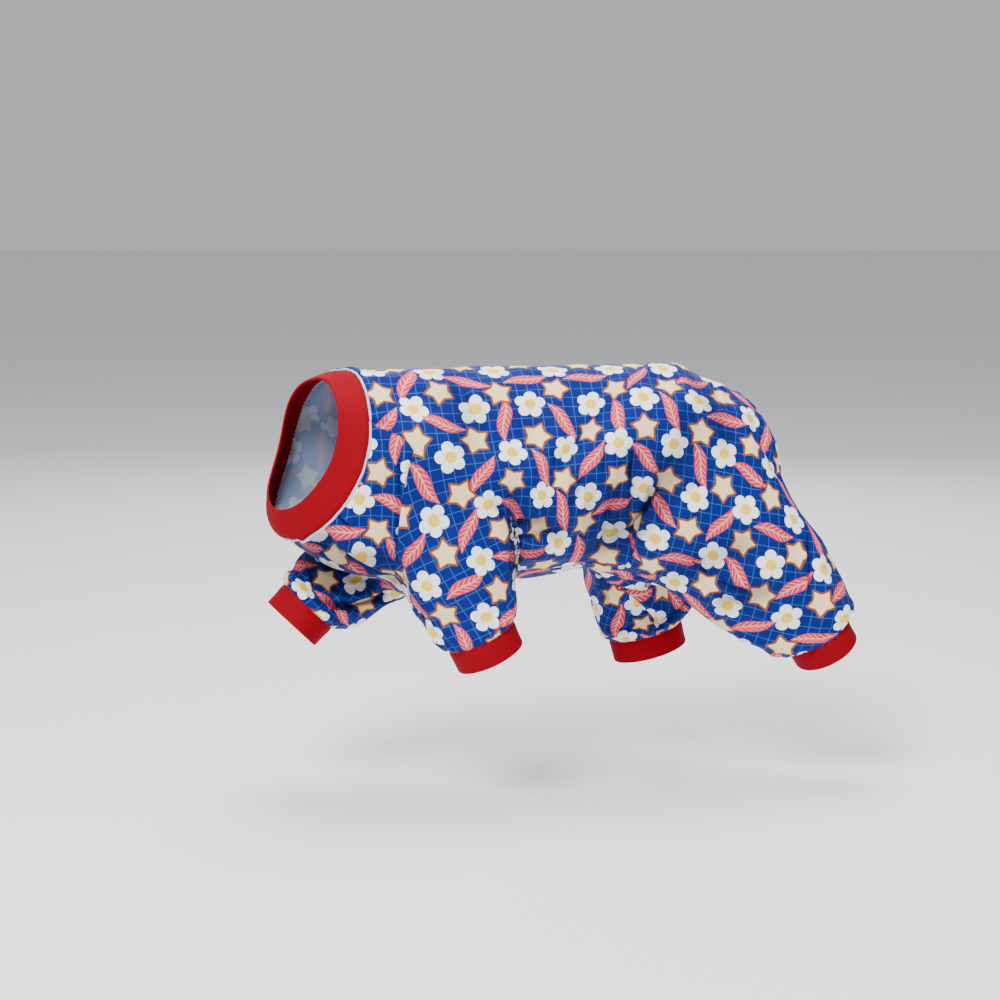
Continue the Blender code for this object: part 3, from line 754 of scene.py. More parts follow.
def make_studio():
    """Soft boxes, a pale surround and a pale floor where the dog's feet would stand."""
    for light in LIGHTS:
        area_light(*light)
    world = bpy.data.worlds.new("surround")
    world.use_nodes = True
    background = world.node_tree.nodes["Background"]
    background.inputs["Color"].default_value = (*SURROUND_COLOUR, 1)
    background.inputs["Strength"].default_value = SURROUND_STRENGTH
    bpy.context.scene.world = world
    mesh = bpy.data.meshes.new("floor")
    angles = [2 * math.pi * k / FLOOR_SIDES for k in range(FLOOR_SIDES)]
    rim = [(FLOOR_REACH * math.cos(a), FLOOR_REACH * math.sin(a), -FLOOR_DROP) for a in angles]
    mesh.from_pydata(rim, [], [list(range(FLOOR_SIDES))])
    floor = bpy.data.objects.new("floor", mesh)
    bpy.context.scene.collection.objects.link(floor)
    material, _, shader = new_material("pale_floor")
    shader.inputs["Base Color"].default_value = (*FLOOR_COLOUR, 1)
    shader.inputs["Roughness"].default_value = FLOOR_ROUGHNESS
    mesh.materials.append(material)


# The cloth's surface: smoothing, flattening, folding and settling.

def cage_mesh(points, faces, panels, places):
    """The cage as a mesh, with each face's panel as its material."""
    names = sorted(set(panels))
    mesh = bpy.data.meshes.new("cage")
    mesh.from_pydata([tuple(p) for p in points], [], faces)
    for name in names:
        mesh.materials.append(bpy.data.materials.new(name))
    mesh.polygons.foreach_set("material_index", [names.index(panel) for panel in panels])
    layer = mesh.uv_layers.new(name="place")
    layer.data.foreach_set("uv", np.array(places, float).ravel())
    return mesh, names


def subdivided(mesh, levels, limit):
    holder = bpy.data.objects.new("holder", mesh)
    bpy.context.scene.collection.objects.link(holder)
    subdivision = holder.modifiers.new("smooth", "SUBSURF")
    subdivision.levels = subdivision.render_levels = levels
    subdivision.uv_smooth = "NONE"
    subdivision.use_limit_surface = limit
    evaluated = holder.evaluated_get(bpy.context.evaluated_depsgraph_get())
    fine = bpy.data.meshes.new_from_object(evaluated)
    bpy.data.objects.remove(holder)
    return fine


def points_of(mesh):
    co = np.empty(len(mesh.vertices) * 3)
    mesh.vertices.foreach_get("co", co)
    return co.reshape(-1, 3)


def set_points(mesh, co):
    mesh.vertices.foreach_set("co", co.ravel())
    mesh.update()


def normals_of(mesh):
    return np.array([n.vector for n in mesh.vertex_normals], float)


def corner_values(mesh, layer):
    values = np.empty(len(mesh.loops) * 2)
    mesh.uv_layers[layer].data.foreach_get("uv", values)
    return values.reshape(-1, 2)


def face_list(mesh):
    return [list(p.vertices) for p in mesh.polygons]


def unwrapped(co, faces, cuts):
    """Each corner's place on the flattened cloth, cut open along the given edges."""
    mesh = bpy.data.meshes.new("flat")
    mesh.from_pydata([tuple(p) for p in co], [], faces)
    mesh.uv_layers.new(name="flat")
    for edge in mesh.edges:
        edge.use_seam = tuple(sorted(edge.vertices)) in cuts
    holder = bpy.data.objects.new("flat", mesh)
    bpy.context.scene.collection.objects.link(holder)
    bpy.context.view_layer.objects.active = holder
    bpy.ops.object.mode_set(mode="EDIT")
    bpy.ops.mesh.select_all(action="SELECT")
    bpy.ops.uv.unwrap(method="CONFORMAL", margin=0.0)
    bpy.ops.uv.unwrap(method="MINIMUM_STRETCH", margin=0.0)
    bpy.ops.object.mode_set(mode="OBJECT")
    flat = corner_values(mesh, "flat")
    bpy.data.objects.remove(holder)
    return flat


def face_areas(points, faces):
    corners = points[np.array(faces)]
    if corners.shape[-1] == 2:
        corners = np.concatenate([corners, np.zeros(corners.shape[:-1] + (1,))], axis=-1)
    across = np.cross(corners[:, 2] - corners[:, 0], corners[:, 3] - corners[:, 1])
    return np.linalg.norm(across, axis=1) / 2


def turned(flat, angle):
    cosine, sine = math.cos(angle), math.sin(angle)
    return flat @ np.array(((cosine, -sine), (sine, cosine)))


def edge_sides(mesh):
    """Each edge's faces, with the edge's two places in that face's columns."""
    place = corner_values(mesh, "place")
    sides = {}
    for polygon in mesh.polygons:
        corners = list(polygon.vertices)
        columns = [place[i][0] for i in polygon.loop_indices]
        for k in range(4):
            a, b = corners[k], corners[(k + 1) % 4]
            pair = (columns[k], columns[(k + 1) % 4])
            sides.setdefault(tuple(sorted((a, b))), []).append((polygon.material_index, pair))
    return sides


def seam_edges(mesh, names):
    """The edges where one panel is sewn to another."""
    seams = []
    for edge, found in edge_sides(mesh).items():
        if len(found) != 2 or found[0][0] == found[1][0]:
            continue
        by_name = {names[index]: pair for index, pair in found}
        legs = [name for name in by_name if name in UNBROKEN]
        if "back_panel" in by_name and legs:
            low, high = UNBROKEN[legs[0]]
            pair = by_name[legs[0]]
            if max(pair) <= low + COLUMN_SLACK or min(pair) >= high - COLUMN_SLACK:
                continue
        seams.append(edge)
    return seams


def inseam_edges(mesh, names):
    """The edges along the inner side of each leg."""
    legs = [index for index, name in enumerate(names) if name in LEGS]
    middle = LEG_COLUMNS / 2
    return [edge for edge, found in edge_sides(mesh).items()
            if found[0][0] in legs and all(abs(c - middle) < COLUMN_SLACK for c in found[0][1])]


def flatten_cut(mesh, names, panels, cuts, row):
    """Flat places, in metres, of the corners of one cut of cloth, and its panels' sizes."""
    wanted = [names.index(panel) for panel in panels]
    polygons = [p for p in mesh.polygons if p.material_index in wanted]
    used = sorted({i for p in polygons for i in p.vertices})
    renumber = {old: new for new, old in enumerate(used)}
    faces = [[renumber[i] for i in p.vertices] for p in polygons]
    co = points_of(mesh)[used]
    own_cuts = {tuple(sorted((renumber[a], renumber[b]))) for a, b in cuts
                if a in renumber and b in renumber}
    flat = unwrapped(co, faces, own_cuts)
    corners = np.arange(len(flat)).reshape(-1, 4)
    flat *= math.sqrt(face_areas(co, faces).sum() / face_areas(flat, corners).sum())
    grain = co[np.array(faces).ravel(), 0]
    slope = np.linalg.lstsq(np.c_[flat, np.ones(len(flat))], grain, rcond=None)[0][:2]
    sizes = {}
    for panel, index in zip(panels, wanted):
        own = np.array([p.material_index == index for p in polygons])
        places = flat[corners[own].ravel()]
        boxes = [np.ptp(turned(places, math.radians(angle)), axis=0)
                 for angle in range(RIGHT_ANGLE)]
        width, length = min(boxes, key=lambda box: box[0] * box[1])
        sizes[panel] = (float(width), float(length), float(face_areas(flat, corners[own]).sum()))
    turn = math.atan2(slope[1], slope[0]) - math.radians(row["turn"])
    flat = turned(flat, turn) + (row["along"], row["across"])
    loops = np.array([list(p.loop_indices) for p in polygons]).ravel()
    return loops, flat, sizes


def flatten_cloth(mesh, names):
    """Writes the cloth layer and gives each panel's flat width, length and area."""
    cuts = seam_edges(mesh, names) + inseam_edges(mesh, names)
    sizes = {}
    mesh.uv_layers.new(name="cloth")
    values = corner_values(mesh, "place") * (TRIM_COLUMN_LENGTH, HEM_WIDTH)
    for cut in CUTS:
        row = dict(zip(CUT_COLUMNS, cut))
        loops, flat, found = flatten_cut(mesh, names, row["panels"], cuts, row)
        values[loops] = flat
        sizes.update(found)
    mesh.uv_layers["cloth"].data.foreach_set("uv", values.ravel())
    return sizes


def trim_points(mesh, names):
    """The points that belong to a rib, a cuff or the hem."""
    trims = [index for index, name in enumerate(names) if is_trim(name)]
    return sorted({i for p in mesh.polygons if p.material_index in trims for i in p.vertices})


def hidden_form(co, normals, faces):
    mesh = bpy.data.meshes.new("form")
    mesh.from_pydata([tuple(p) for p in co - normals * FORM_INSET], [], faces)
    form = bpy.data.objects.new("form", mesh)
    bpy.context.scene.collection.objects.link(form)
    form.modifiers.new("solid", "COLLISION")
    form.collision.thickness_outer = CLOTH_GAP
    form.collision.cloth_friction = FORM_FRICTION
    return form


def evened(values, mesh, rounds):
    """Values at points, each averaged with those of the points beside it."""
    ends = np.array([tuple(edge.vertices) for edge in mesh.edges])
    beside = np.zeros(len(values))
    np.add.at(beside, ends.ravel(), 1)
    for _ in range(rounds):
        total = np.zeros_like(values)
        np.add.at(total, ends[:, 0], values[ends[:, 1]])
        np.add.at(total, ends[:, 1], values[ends[:, 0]])
        values = values * 0.5 + total / beside[:, None] * 0.5
    return values


def eased(share):
    """A share from 0 to 1 that starts and stops gently."""
    return share * share * (3 - 2 * share)


def add_simulation(cloth):
    simulation = cloth.modifiers.new("cloth", "CLOTH")
    settings = simulation.settings
    settings.quality = SETTLE_QUALITY
    settings.mass = CLOTH_MASS
    settings.tension_stiffness = settings.compression_stiffness = STRETCH_STIFFNESS
    settings.shear_stiffness = SHEAR_STIFFNESS
    settings.bending_stiffness = BENDING_STIFFNESS
    settings.tension_damping = settings.compression_damping = CLOTH_DAMPING
    settings.shear_damping = CLOTH_DAMPING
    settings.air_damping = AIR_DAMPING
    settings.vertex_group_mass = "held"
    settings.pin_stiffness = 1
    settings.shrink_min = -SPARE_CLOTH
    settings.effector_weights.gravity = PULL_SHARE
    simulation.collision_settings.distance_min = CLOTH_GAP
    simulation.collision_settings.collision_quality = COLLISION_QUALITY
    simulation.point_cache.frame_end = SETTLE_FRAMES


def settled(mesh, smooth_co, smooth_normals, held):
    """The cloth's points after it settles over the hidden form with a little spare cloth."""
    start = points_of(mesh)
    cloth = bpy.data.objects.new("settling", mesh.copy())
    bpy.context.scene.collection.objects.link(cloth)
    form = hidden_form(smooth_co, smooth_normals, face_list(mesh))
    cloth.vertex_groups.new(name="held").add(held, 1.0, "REPLACE")
    add_simulation(cloth)
    scene = bpy.context.scene
    for number in range(1, SETTLE_FRAMES + 1):
        scene.frame_set(number)
    evaluated = cloth.evaluated_get(bpy.context.evaluated_depsgraph_get())
    result = points_of(bpy.data.meshes.new_from_object(evaluated))
    scene.frame_set(1)
    bpy.data.objects.remove(cloth)
    bpy.data.objects.remove(form)
    moves = result - start
    lengths = np.linalg.norm(moves, axis=1)[:, None]
    moves *= np.minimum(1, MOST_MOVE / np.maximum(lengths, TINY))
    loose = distances_to(start, held, STILL_REACH) / STILL_REACH
    return start + evened(moves, mesh, EVEN_ROUNDS) * eased(loose)[:, None]


def along_path(co, path):
    """Each point's nearest place on a path, that place's way, and its share of the length."""
    path = np.array(path)
    steps = np.linalg.norm(np.diff(path, axis=0), axis=1)
    starts = np.concatenate([[0], np.cumsum(steps)])
    best = np.full(len(co), np.inf)
    offset, way, share = np.zeros_like(co), np.zeros_like(co), np.zeros(len(co))
    for k, length in enumerate(steps):
        ahead = (path[k + 1] - path[k]) / length
        travel = np.clip((co - path[k]) @ ahead, 0, length)
        found = co - path[k] - travel[:, None] * ahead
        distance = np.linalg.norm(found, axis=1)
        nearer = distance < best
        best[nearer] = distance[nearer]
        offset[nearer] = found[nearer]
        way[nearer] = ahead
        share[nearer] = (starts[k] + travel[nearer]) / starts[-1]
    return offset, way, share


def under_photo_point(tree, across, down):
    """Where the line of sight through a pixel of the photo meets the cloth."""
    back = view_back()
    right = Vector((0.0, 0.0, 1.0)).cross(back).normalized()
    up = back.cross(right)
    step = SENSOR_WIDTH / VIEW_LENS / PHOTO_SIZE
    middle = PHOTO_SIZE / 2
    way = right * (across - middle) * step + up * (middle - down) * step - back
    eye = Vector(VIEW_CENTRE) + back * VIEW_DISTANCE
    place = tree.ray_cast(eye, way.normalized())[0]
    return None if place is None else np.array(place)


def bell(place, middle, spread):
    """1 at the middle, fading to both sides."""
    return np.exp(-((place - middle) / spread) ** 2)


def creased(co, normals, tree):
    """Raises and leans the cloth along each crease.

    Gives the cloth's new points, those of its wrong side, which only sinks, and how much painted
    shade its valleys get.
    """
    moves, sinking, depth = np.zeros_like(co), np.zeros_like(co), np.zeros(len(co))
    for row in CREASES:
        crease = dict(zip(CREASE_COLUMNS, row))
        path = [under_photo_point(tree, *point) for point in crease["photo_points"]]
        path = [place for place in path if place is not None]
        width = crease["width"] * MILLIMETRE
        offset, way, share = along_path(co, path)
        close = np.linalg.norm(offset, axis=1) < FARTHEST_CREASE
        offset -= normals * (offset * normals).sum(axis=1)[:, None]
        across = np.cross(normals, way)
        across /= np.maximum(np.linalg.norm(across, axis=1), TINY)[:, None]
        place = (offset * across).sum(axis=1) / width
        off_end = np.maximum((offset ** 2).sum(axis=1) / width ** 2 - place ** 2, 0)
        fade = eased(np.clip(np.minimum(share, 1 - share) / CREASE_FADE, 0, 1))
        fade = fade * np.exp(-off_end) * close
        height = crease["height"] * MILLIMETRE * CREASE_GAIN * fade
        lean = bell(place, LEAN_AT, LEAN_SPREAD) * crease["lean"] * MILLIMETRE * LEAN_GAIN
        valley = bell(place, VALLEY_AT, VALLEY_SPREAD)
        ridge = bell(place, RIDGE_AT, RIDGE_SPREAD)
        sink = normals * (height * VALLEY_SHARE * valley)[:, None]
        sinking -= sink
        moves += normals * (height * RIDGE_SHARE * ridge)[:, None] - sink
        moves -= across * (fade * lean)[:, None]
        # Painted shade in the valley, full at a set depth.
        depth = np.maximum(depth, height * valley / CREASE_DROP_AT_FULL_SHADE)
    return co + moves, co + sinking, depth


def distances_to(co, targets, reach):
    """Each point's distance to the nearest target, at most reach."""
    tree = kdtree.KDTree(len(targets))
    for index, i in enumerate(targets):
        tree.insert(co[i], index)
    tree.balance()
    return np.array([min(tree.find(point)[2], reach) for point in co])


def panel_of_points(mesh):
    owners = [set() for _ in mesh.vertices]
    for polygon in mesh.polygons:
        for i in polygon.vertices:
            owners[i].add(polygon.material_index)
    return owners


def cloth_columns(mesh, trims):
    """Each point's column of the cage, as the cloth outside the trims counts them."""
    column = np.zeros(len(mesh.vertices))
    place = corner_values(mesh, "place")
    for polygon in mesh.polygons:
        if polygon.material_index not in trims:
            for i, corner in zip(polygon.vertices, polygon.loop_indices):
                column[i] = place[corner][0]
    return column


def slow_wave(turn, size, times, start):
    return size * math.sin(times * turn + start)


def finish_surface(mesh, names):
    """Presses the seams in, puckers the cloth beside them and gathers it at the trims."""
    co, normals = points_of(mesh), normals_of(mesh)
    owners = panel_of_points(mesh)
    trims = {index for index, name in enumerate(names) if is_trim(name)}
    column = cloth_columns(mesh, trims)
    seams = sorted({i for edge in seam_edges(mesh, names) for i in edge})
    trim_seams = [i for i in seams if owners[i] & trims and owners[i] - trims]
    hem = names.index("rear_elastic_hem")
    hem_seams = [i for i in trim_seams if hem in owners[i]]
    away = distances_to(co, seams, SEAM_SEARCH)
    from_trim = distances_to(co, trim_seams, SEAM_SEARCH)
    from_hem = distances_to(co, hem_seams, SEAM_SEARCH)
    lift = -GROOVE_DEPTH * np.exp(-(away / GROOVE_WIDTH) ** 2)
    for i, point in enumerate(co):
        if owners[i] <= trims:
            continue
        if away[i] < PUCKER_SEARCH:
            wrinkle = noise.noise(Vector(point) / PUCKER_SIZE)
            lift[i] += wrinkle * PUCKER_HEIGHT * math.exp(-away[i] / PUCKER_REACH)
        if from_trim[i] < SEAM_SEARCH:
            at_hem = from_hem[i] < from_trim[i] + HEM_NEARER
            height = HEM_GATHER_HEIGHT if at_hem else CUFF_GATHER_HEIGHT
            reach = HEM_GATHER_REACH if at_hem else CUFF_GATHER_REACH
            turn = column[i] / COLUMNS * 2 * math.pi
            wave = GATHERS_ROUND * turn
            for slow in GATHER_WANDER:
                wave += slow_wave(turn, *slow)
            swell = 1 - GATHER_SWELL[0] + slow_wave(turn, *GATHER_SWELL)
            rise = min(from_trim[i] / GATHER_RISE, 1)
            lift[i] += height * swell * math.cos(wave) * rise * math.exp(-from_trim[i] / reach)
            lift[i] += FULLNESS * rise * math.exp(-from_trim[i] / FULLNESS_REACH)
    lifts = normals * lift[:, None]
    set_points(mesh, co + lifts)
    return away, lifts


# Panels: each is cut from the surface and given a wall, with a round free edge.

def boundary_of(faces):
    """Each edge that only one face has, as its first and second point."""
    sides = {(a, b): None for face in faces for a, b in zip(face, face[1:] + face[:1])}
    return [(a, b) for a, b in sides if (b, a) not in sides]


def free_edge_ways(rim, co, normals):
    """For each point on a free edge, the way that leads off the cloth."""
    ways = {}
    for a, b in rim:
        along = co[b] - co[a]
        for i in (a, b):
            way = np.cross(along, normals[i])
            ways.setdefault(i, []).append(way / max(np.linalg.norm(way), TINY))
    return {i: sum(found) / np.linalg.norm(sum(found)) for i, found in ways.items()}


def cut_out(mesh, index):
    """A panel's points, faces and corners, and which of its points other panels share."""
    polygons = [p for p in mesh.polygons if p.material_index == index]
    others = {i for p in mesh.polygons if p.material_index != index for i in p.vertices}
    used = sorted({i for p in polygons for i in p.vertices})
    renumber = {old: new for new, old in enumerate(used)}
    faces = [[renumber[i] for i in p.vertices] for p in polygons]
    corners = [list(p.loop_indices) for p in polygons]
    shared = {renumber[i] for i in used if i in others}
    return used, faces, corners, shared


def rounded_rows(free, outer, inner, normals, thickness):
    """Each free edge point's row of points round to the wrong side, and the points added."""
    count = len(outer)
    rows, added = {}, []
    for i, way in free_edge_ways(free, outer, normals).items():
        middle = (outer[i] + inner[i]) / 2
        rows[i] = [i]
        for step in range(1, EDGE_STEPS):
            angle = math.pi * step / EDGE_STEPS
            off_middle = normals[i] * math.cos(angle) + way * math.sin(angle)
            rows[i].append(2 * count + len(added))
            added.append(middle + off_middle * thickness / 2)
        rows[i].append(i + count)
    return rows, added


def rim_faces(rim, faces, corners, rows, count):
    """The faces along a panel's rim, and the corner that each of their corners copies."""
    corner_at = {}
    for face, found in zip(faces, corners):
        for k in range(4):
            after = (k + 1) % 4
            corner_at[(face[k], face[after])] = (found[k], found[after])
    added, sources = [], []
    for a, b in rim:
        is_round = a in rows and b in rows
        from_a = rows[a] if is_round else [a, a + count]
        from_b = rows[b] if is_round else [b, b + count]
        corner_a, corner_b = corner_at[(a, b)]
        for k in range(len(from_a) - 1):
            added.append([from_b[k], from_a[k], from_a[k + 1], from_b[k + 1]])
            sources.append([corner_b, corner_a, corner_a, corner_b])
    return added, sources


def panel_piece(name, mesh, index, reverse_sides, painted_shades, thickness, materials):
    """A panel as a closed wall: its right side, its wrong side and its edges."""
    used, faces, corners, shared = cut_out(mesh, index)
    outer, normals = points_of(mesh)[used], normals_of(mesh)[used]
    reverse_at, reverse_normals = (found[used] for found in reverse_sides)
    inner = reverse_at - reverse_normals * thickness
    count = len(outer)
    rim = boundary_of(faces)
    free = [(a, b) for a, b in rim if not (a in shared and b in shared)]
    rows, added = rounded_rows(free, outer, inner, normals, thickness)
    edge_faces, edge_sources = rim_faces(rim, faces, corners, rows, count)
    inner_faces = [[i + count for i in reversed(face)] for face in faces]
    sources = corners + [found[::-1] for found in corners] + edge_sources
    points = np.concatenate([outer, inner, np.array(added).reshape(-1, 3)])
    piece_mesh = bpy.data.meshes.new(name)
    piece_mesh.from_pydata([tuple(p) for p in points], [], faces + inner_faces + edge_faces)
    for layer in ("cloth", "place"):
        values = corner_values(mesh, layer)[np.array(sources).ravel()]
        piece_mesh.uv_layers.new(name=layer).data.foreach_set("uv", values.ravel())
    # The painted shade of the seam grooves and the fold valleys, on both walls.
    for mark, found in painted_shades.items():
        values = np.zeros(len(points))
        values[:count] = values[count:2 * count] = found[used]
        piece_mesh.attributes.new(mark, "FLOAT", "POINT").data.foreach_set("value", values)
    for material in materials:
        piece_mesh.materials.append(material)
    sides = [0] * len(faces) + [1] * len(inner_faces) + [0] * len(edge_faces)
    piece_mesh.polygons.foreach_set("material_index", sides)
    piece_mesh.shade_smooth()
    own_normals = normals_of(piece_mesh)
    own_normals[:count] = normals
    own_normals[count:2 * count] = -reverse_normals
    piece_mesh.normals_split_custom_set_from_vertices(own_normals.tolist())
    piece = bpy.data.objects.new(name + "_cloth", piece_mesh)
    bpy.context.scene.collection.objects.link(piece)
    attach(piece, "root")
    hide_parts(name)
    return piece, float(face_areas(outer, faces).sum())


# Numbers and colours in materials.

class Number:
    """A number that a shader works out, so that a sum reads as a sum."""

    def __init__(self, tree, source):
        self.tree, self.source = tree, source

    def step(self, operation, *others):
        node = self.tree.nodes.new("ShaderNodeMath")
        node.operation = operation
        for socket, value in zip(node.inputs, (self,) + others):
            if isinstance(value, Number):
                self.tree.links.new(value.source, socket)
            else:
                socket.default_value = value
        return Number(self.tree, node.outputs[0])

    def __add__(self, other):
        return self.step("ADD", other)

    def __sub__(self, other):
        return self.step("SUBTRACT", other)

    def __mul__(self, other):
        return self.step("MULTIPLY", other)

    def __truediv__(self, other):
        return self.step("DIVIDE", other)

    def over(self, edge, soft):
        """1 where this is above edge and 0 below, over a soft band."""
        node = self.tree.nodes.new("ShaderNodeMapRange")
        node.interpolation_type = "SMOOTHSTEP"
        self.tree.links.new(self.source, node.inputs["Value"])
        node.inputs["From Min"].default_value = edge - soft / 2
        node.inputs["From Max"].default_value = edge + soft / 2
        return Number(self.tree, node.outputs["Result"])

    def under(self, edge, soft):
        return self.over(edge, soft) * -1 + 1


def mixed(tree, factor, below, above):
    """below where factor is 0 and above where it is 1; each is a colour or a socket.

    The factor is a Number or a plain number.
    """
    node = tree.nodes.new("ShaderNodeMix")
    node.data_type = "RGBA"
    if isinstance(factor, Number):
        tree.links.new(factor.source, node.inputs["Factor"])
    else:
        node.inputs["Factor"].default_value = factor
    for name, value in (("A", below), ("B", above)):
        socket = [s for s in node.inputs if s.name == name and s.type == "RGBA"][0]
        if isinstance(value, tuple):
            socket.default_value = (*value, 1)
        else:
            tree.links.new(value, socket)
    return [s for s in node.outputs if s.type == "RGBA"][0]


def scaled(colour, share):
    return tuple(c * share for c in colour)


def flat_place(tree, layer):
    """The two numbers of a UV layer."""
    uv = tree.nodes.new("ShaderNodeUVMap")
    uv.uv_map = layer
    split = tree.nodes.new("ShaderNodeSeparateXYZ")
    tree.links.new(uv.outputs["UV"], split.inputs[0])
    return Number(tree, split.outputs["X"]), Number(tree, split.outputs["Y"])


def noise_number(tree, x, y, size, detail=2.0):
    join = tree.nodes.new("ShaderNodeCombineXYZ")
    tree.links.new(x.source, join.inputs["X"])
    tree.links.new(y.source, join.inputs["Y"])
    node = tree.nodes.new("ShaderNodeTexNoise")
    node.inputs["Scale"].default_value = 1 / size
    node.inputs["Detail"].default_value = detail
    tree.links.new(join.outputs[0], node.inputs["Vector"])
    return Number(tree, node.outputs["Fac"])


def round_motif(tree, x, y, shift, seed):
    """Numbers round the nearest motif of a set in staggered rows, each turned its own way."""
    x, y = x - shift[0], y - shift[1]
    row = (y / ROW_STEP).step("ROUND")
    start = x - row * (COLUMN_STEP / 2)
    column = (start / COLUMN_STEP).step("ROUND")
    join = tree.nodes.new("ShaderNodeCombineXYZ")
    tree.links.new(row.source, join.inputs["X"])
    tree.links.new(column.source, join.inputs["Y"])
    join.inputs["Z"].default_value = seed
    chance = tree.nodes.new("ShaderNodeTexWhiteNoise")
    tree.links.new(join.outputs[0], chance.inputs["Vector"])
    split = tree.nodes.new("ShaderNodeSeparateColor")
    tree.links.new(chance.outputs["Color"], split.inputs[0])
    one, two, three = (Number(tree, split.outputs[k]) for k in range(3))
    x = start - column * COLUMN_STEP + (one - 0.5) * (2 * MOTIF_JITTER)
    y = y - row * ROW_STEP + (two - 0.5) * (2 * MOTIF_JITTER)
    turn = three * (2 * math.pi)
    cosine, sine = turn.step("COSINE"), turn.step("SINE")
    return x * cosine + y * sine, y * cosine - x * sine


def leaf_layer(tree, x, y, below):
    """Coral leaves with a pale midrib and side veins."""
    x, y = round_motif(tree, x, y, (COLUMN_STEP, MOTIF_SPACING), LEAF_SEED)
    y = y + (x * (math.pi / LEAF_LENGTH)).step("SINE") * LEAF_BOW
    aside = y.step("ABSOLUTE")
    share = x / LEAF_LENGTH
    width = (share * share * -1 + 1) * LEAF_WIDTH
    gap = aside - width
    inside = gap.under(0, PRINT_EDGE)
    rib = (aside - width * MIDRIB_SHARE).under(MIDRIB_LEAST, PRINT_EDGE)
    veins = ((x - aside * VEIN_SLANT) * (2 * math.pi / VEIN_SPACING)).step("SINE")
    veins = veins.over(VEIN_EDGE, VEIN_SOFT) * gap.under(-VEIN_MARGIN, PRINT_EDGE)
    pale = rib.step("MAXIMUM", veins * VEIN_STRENGTH)
    return mixed(tree, inside, below, mixed(tree, pale, CORAL, CORAL_PALE))


def star_layer(tree, x, y, below):
    """Cream stars with a brown outline."""
    x, y = round_motif(tree, x, y, (COLUMN_STEP / 2, MOTIF_SPACING / 2), STAR_SEED)
    reach = (x * x + y * y).step("SQRT")
    point = math.pi / STAR_POINTS
    turn = y.step("ARCTAN2", x)
    folded = ((turn / (2 * point) + 0.5).step("FRACT") - 0.5).step("ABSOLUTE") * (2 * point)
    px, py = reach * folded.step("COSINE"), reach * folded.step("SINE")
    tip = (STAR_RADIUS, 0.0)
    notch = (STAR_NOTCH * math.cos(point), STAR_NOTCH * math.sin(point))
    side = (notch[0] - tip[0], notch[1] - tip[1])
    length = math.hypot(*side)
    gap = ((px - tip[0]) * (side[1] / length) - (py - tip[1]) * (side[0] / length))
    gap = gap.step("MAXIMUM", reach - STAR_RADIUS * STAR_TIP_SHARE)
    inside = gap.under(0, PRINT_EDGE)
    heart = gap.under(-STAR_OUTLINE, PRINT_EDGE * 2)
    return mixed(tree, inside, below, mixed(tree, heart, OUTLINE_BROWN, CREAM))


def blossom_layer(tree, x, y, below):
    """White blossoms with five petals and a yellow centre."""
    x, y = round_motif(tree, x, y, (0, 0), BLOSSOM_SEED)
    reach = (x * x + y * y).step("SQRT")
    petal = (y.step("ARCTAN2", x) * (PETALS / 2)).step("COSINE").step("ABSOLUTE")
    petal = petal.step("POWER", PETAL_POWER)
    gap = reach - (petal * PETAL_NOTCH + (1 - PETAL_NOTCH)) * BLOSSOM_RADIUS
    inside = gap.under(0, PRINT_EDGE)
    crease = petal.under(SHADE_EDGE, SHADE_SOFT) * reach.over(BLOSSOM_CENTRE, SHADE_FROM_CENTRE)
    white = mixed(tree, crease * SHADE_STRENGTH, BLOSSOM_WHITE, BLOSSOM_SHADE)
    white = mixed(tree, reach.under(BLOSSOM_CENTRE, PRINT_EDGE * 2), white, CENTRE_YELLOW)
    return mixed(tree, inside, below, white)


def print_colour(tree, x, y):
    """Blue with a pale grid, leaves, stars and blossoms."""
    tone = noise_number(tree, x, y, TONE_PATCH)
    colour = mixed(tree, tone, scaled(GROUND_BLUE, TONE_DARKEST),
                   scaled(GROUND_BLUE, TONE_LIGHTEST))
    lines = []
    for value in (x, y):
        share = (value / GRID_SPACING).step("FRACT") - 0.5
        lines.append((share.step("ABSOLUTE") * GRID_SPACING).under(GRID_LINE / 2, GRID_LINE))
    colour = mixed(tree, lines[0].step("MAXIMUM", lines[1]) * GRID_STRENGTH, colour, GRID_BLUE)
    colour = leaf_layer(tree, x, y, colour)
    colour = star_layer(tree, x, y, colour)
    return blossom_layer(tree, x, y, colour)


def attribute_number(tree, name):
    node = tree.nodes.new("ShaderNodeAttribute")
    node.attribute_name = name
    return Number(tree, node.outputs["Fac"])


def new_material(name):
    material = bpy.data.materials.new(name)
    material.use_nodes = True
    tree = material.node_tree
    return material, tree, tree.nodes["Principled BSDF"]


def raise_surface(tree, shader, height, distance, strength=1.0):
    bump = tree.nodes.new("ShaderNodeBump")
    bump.inputs["Distance"].default_value = distance
    bump.inputs["Strength"].default_value = strength
    tree.links.new(height.source, bump.inputs["Height"])
    tree.links.new(bump.outputs["Normal"], shader.inputs["Normal"])


def weave_height(tree, x, y):
    """The fine knit of the cloth, with a soft unevenness under it."""
    across = (x * (2 * math.pi / KNIT_COLUMN)).step("SINE")
    fine = across * (y * (2 * math.pi / KNIT_ROW)).step("SINE")
    uneven = noise_number(tree, x, y, UNEVEN_PATCH, UNEVEN_DETAIL)
    return fine * KNIT_SHARE + uneven * UNEVEN_SHARE


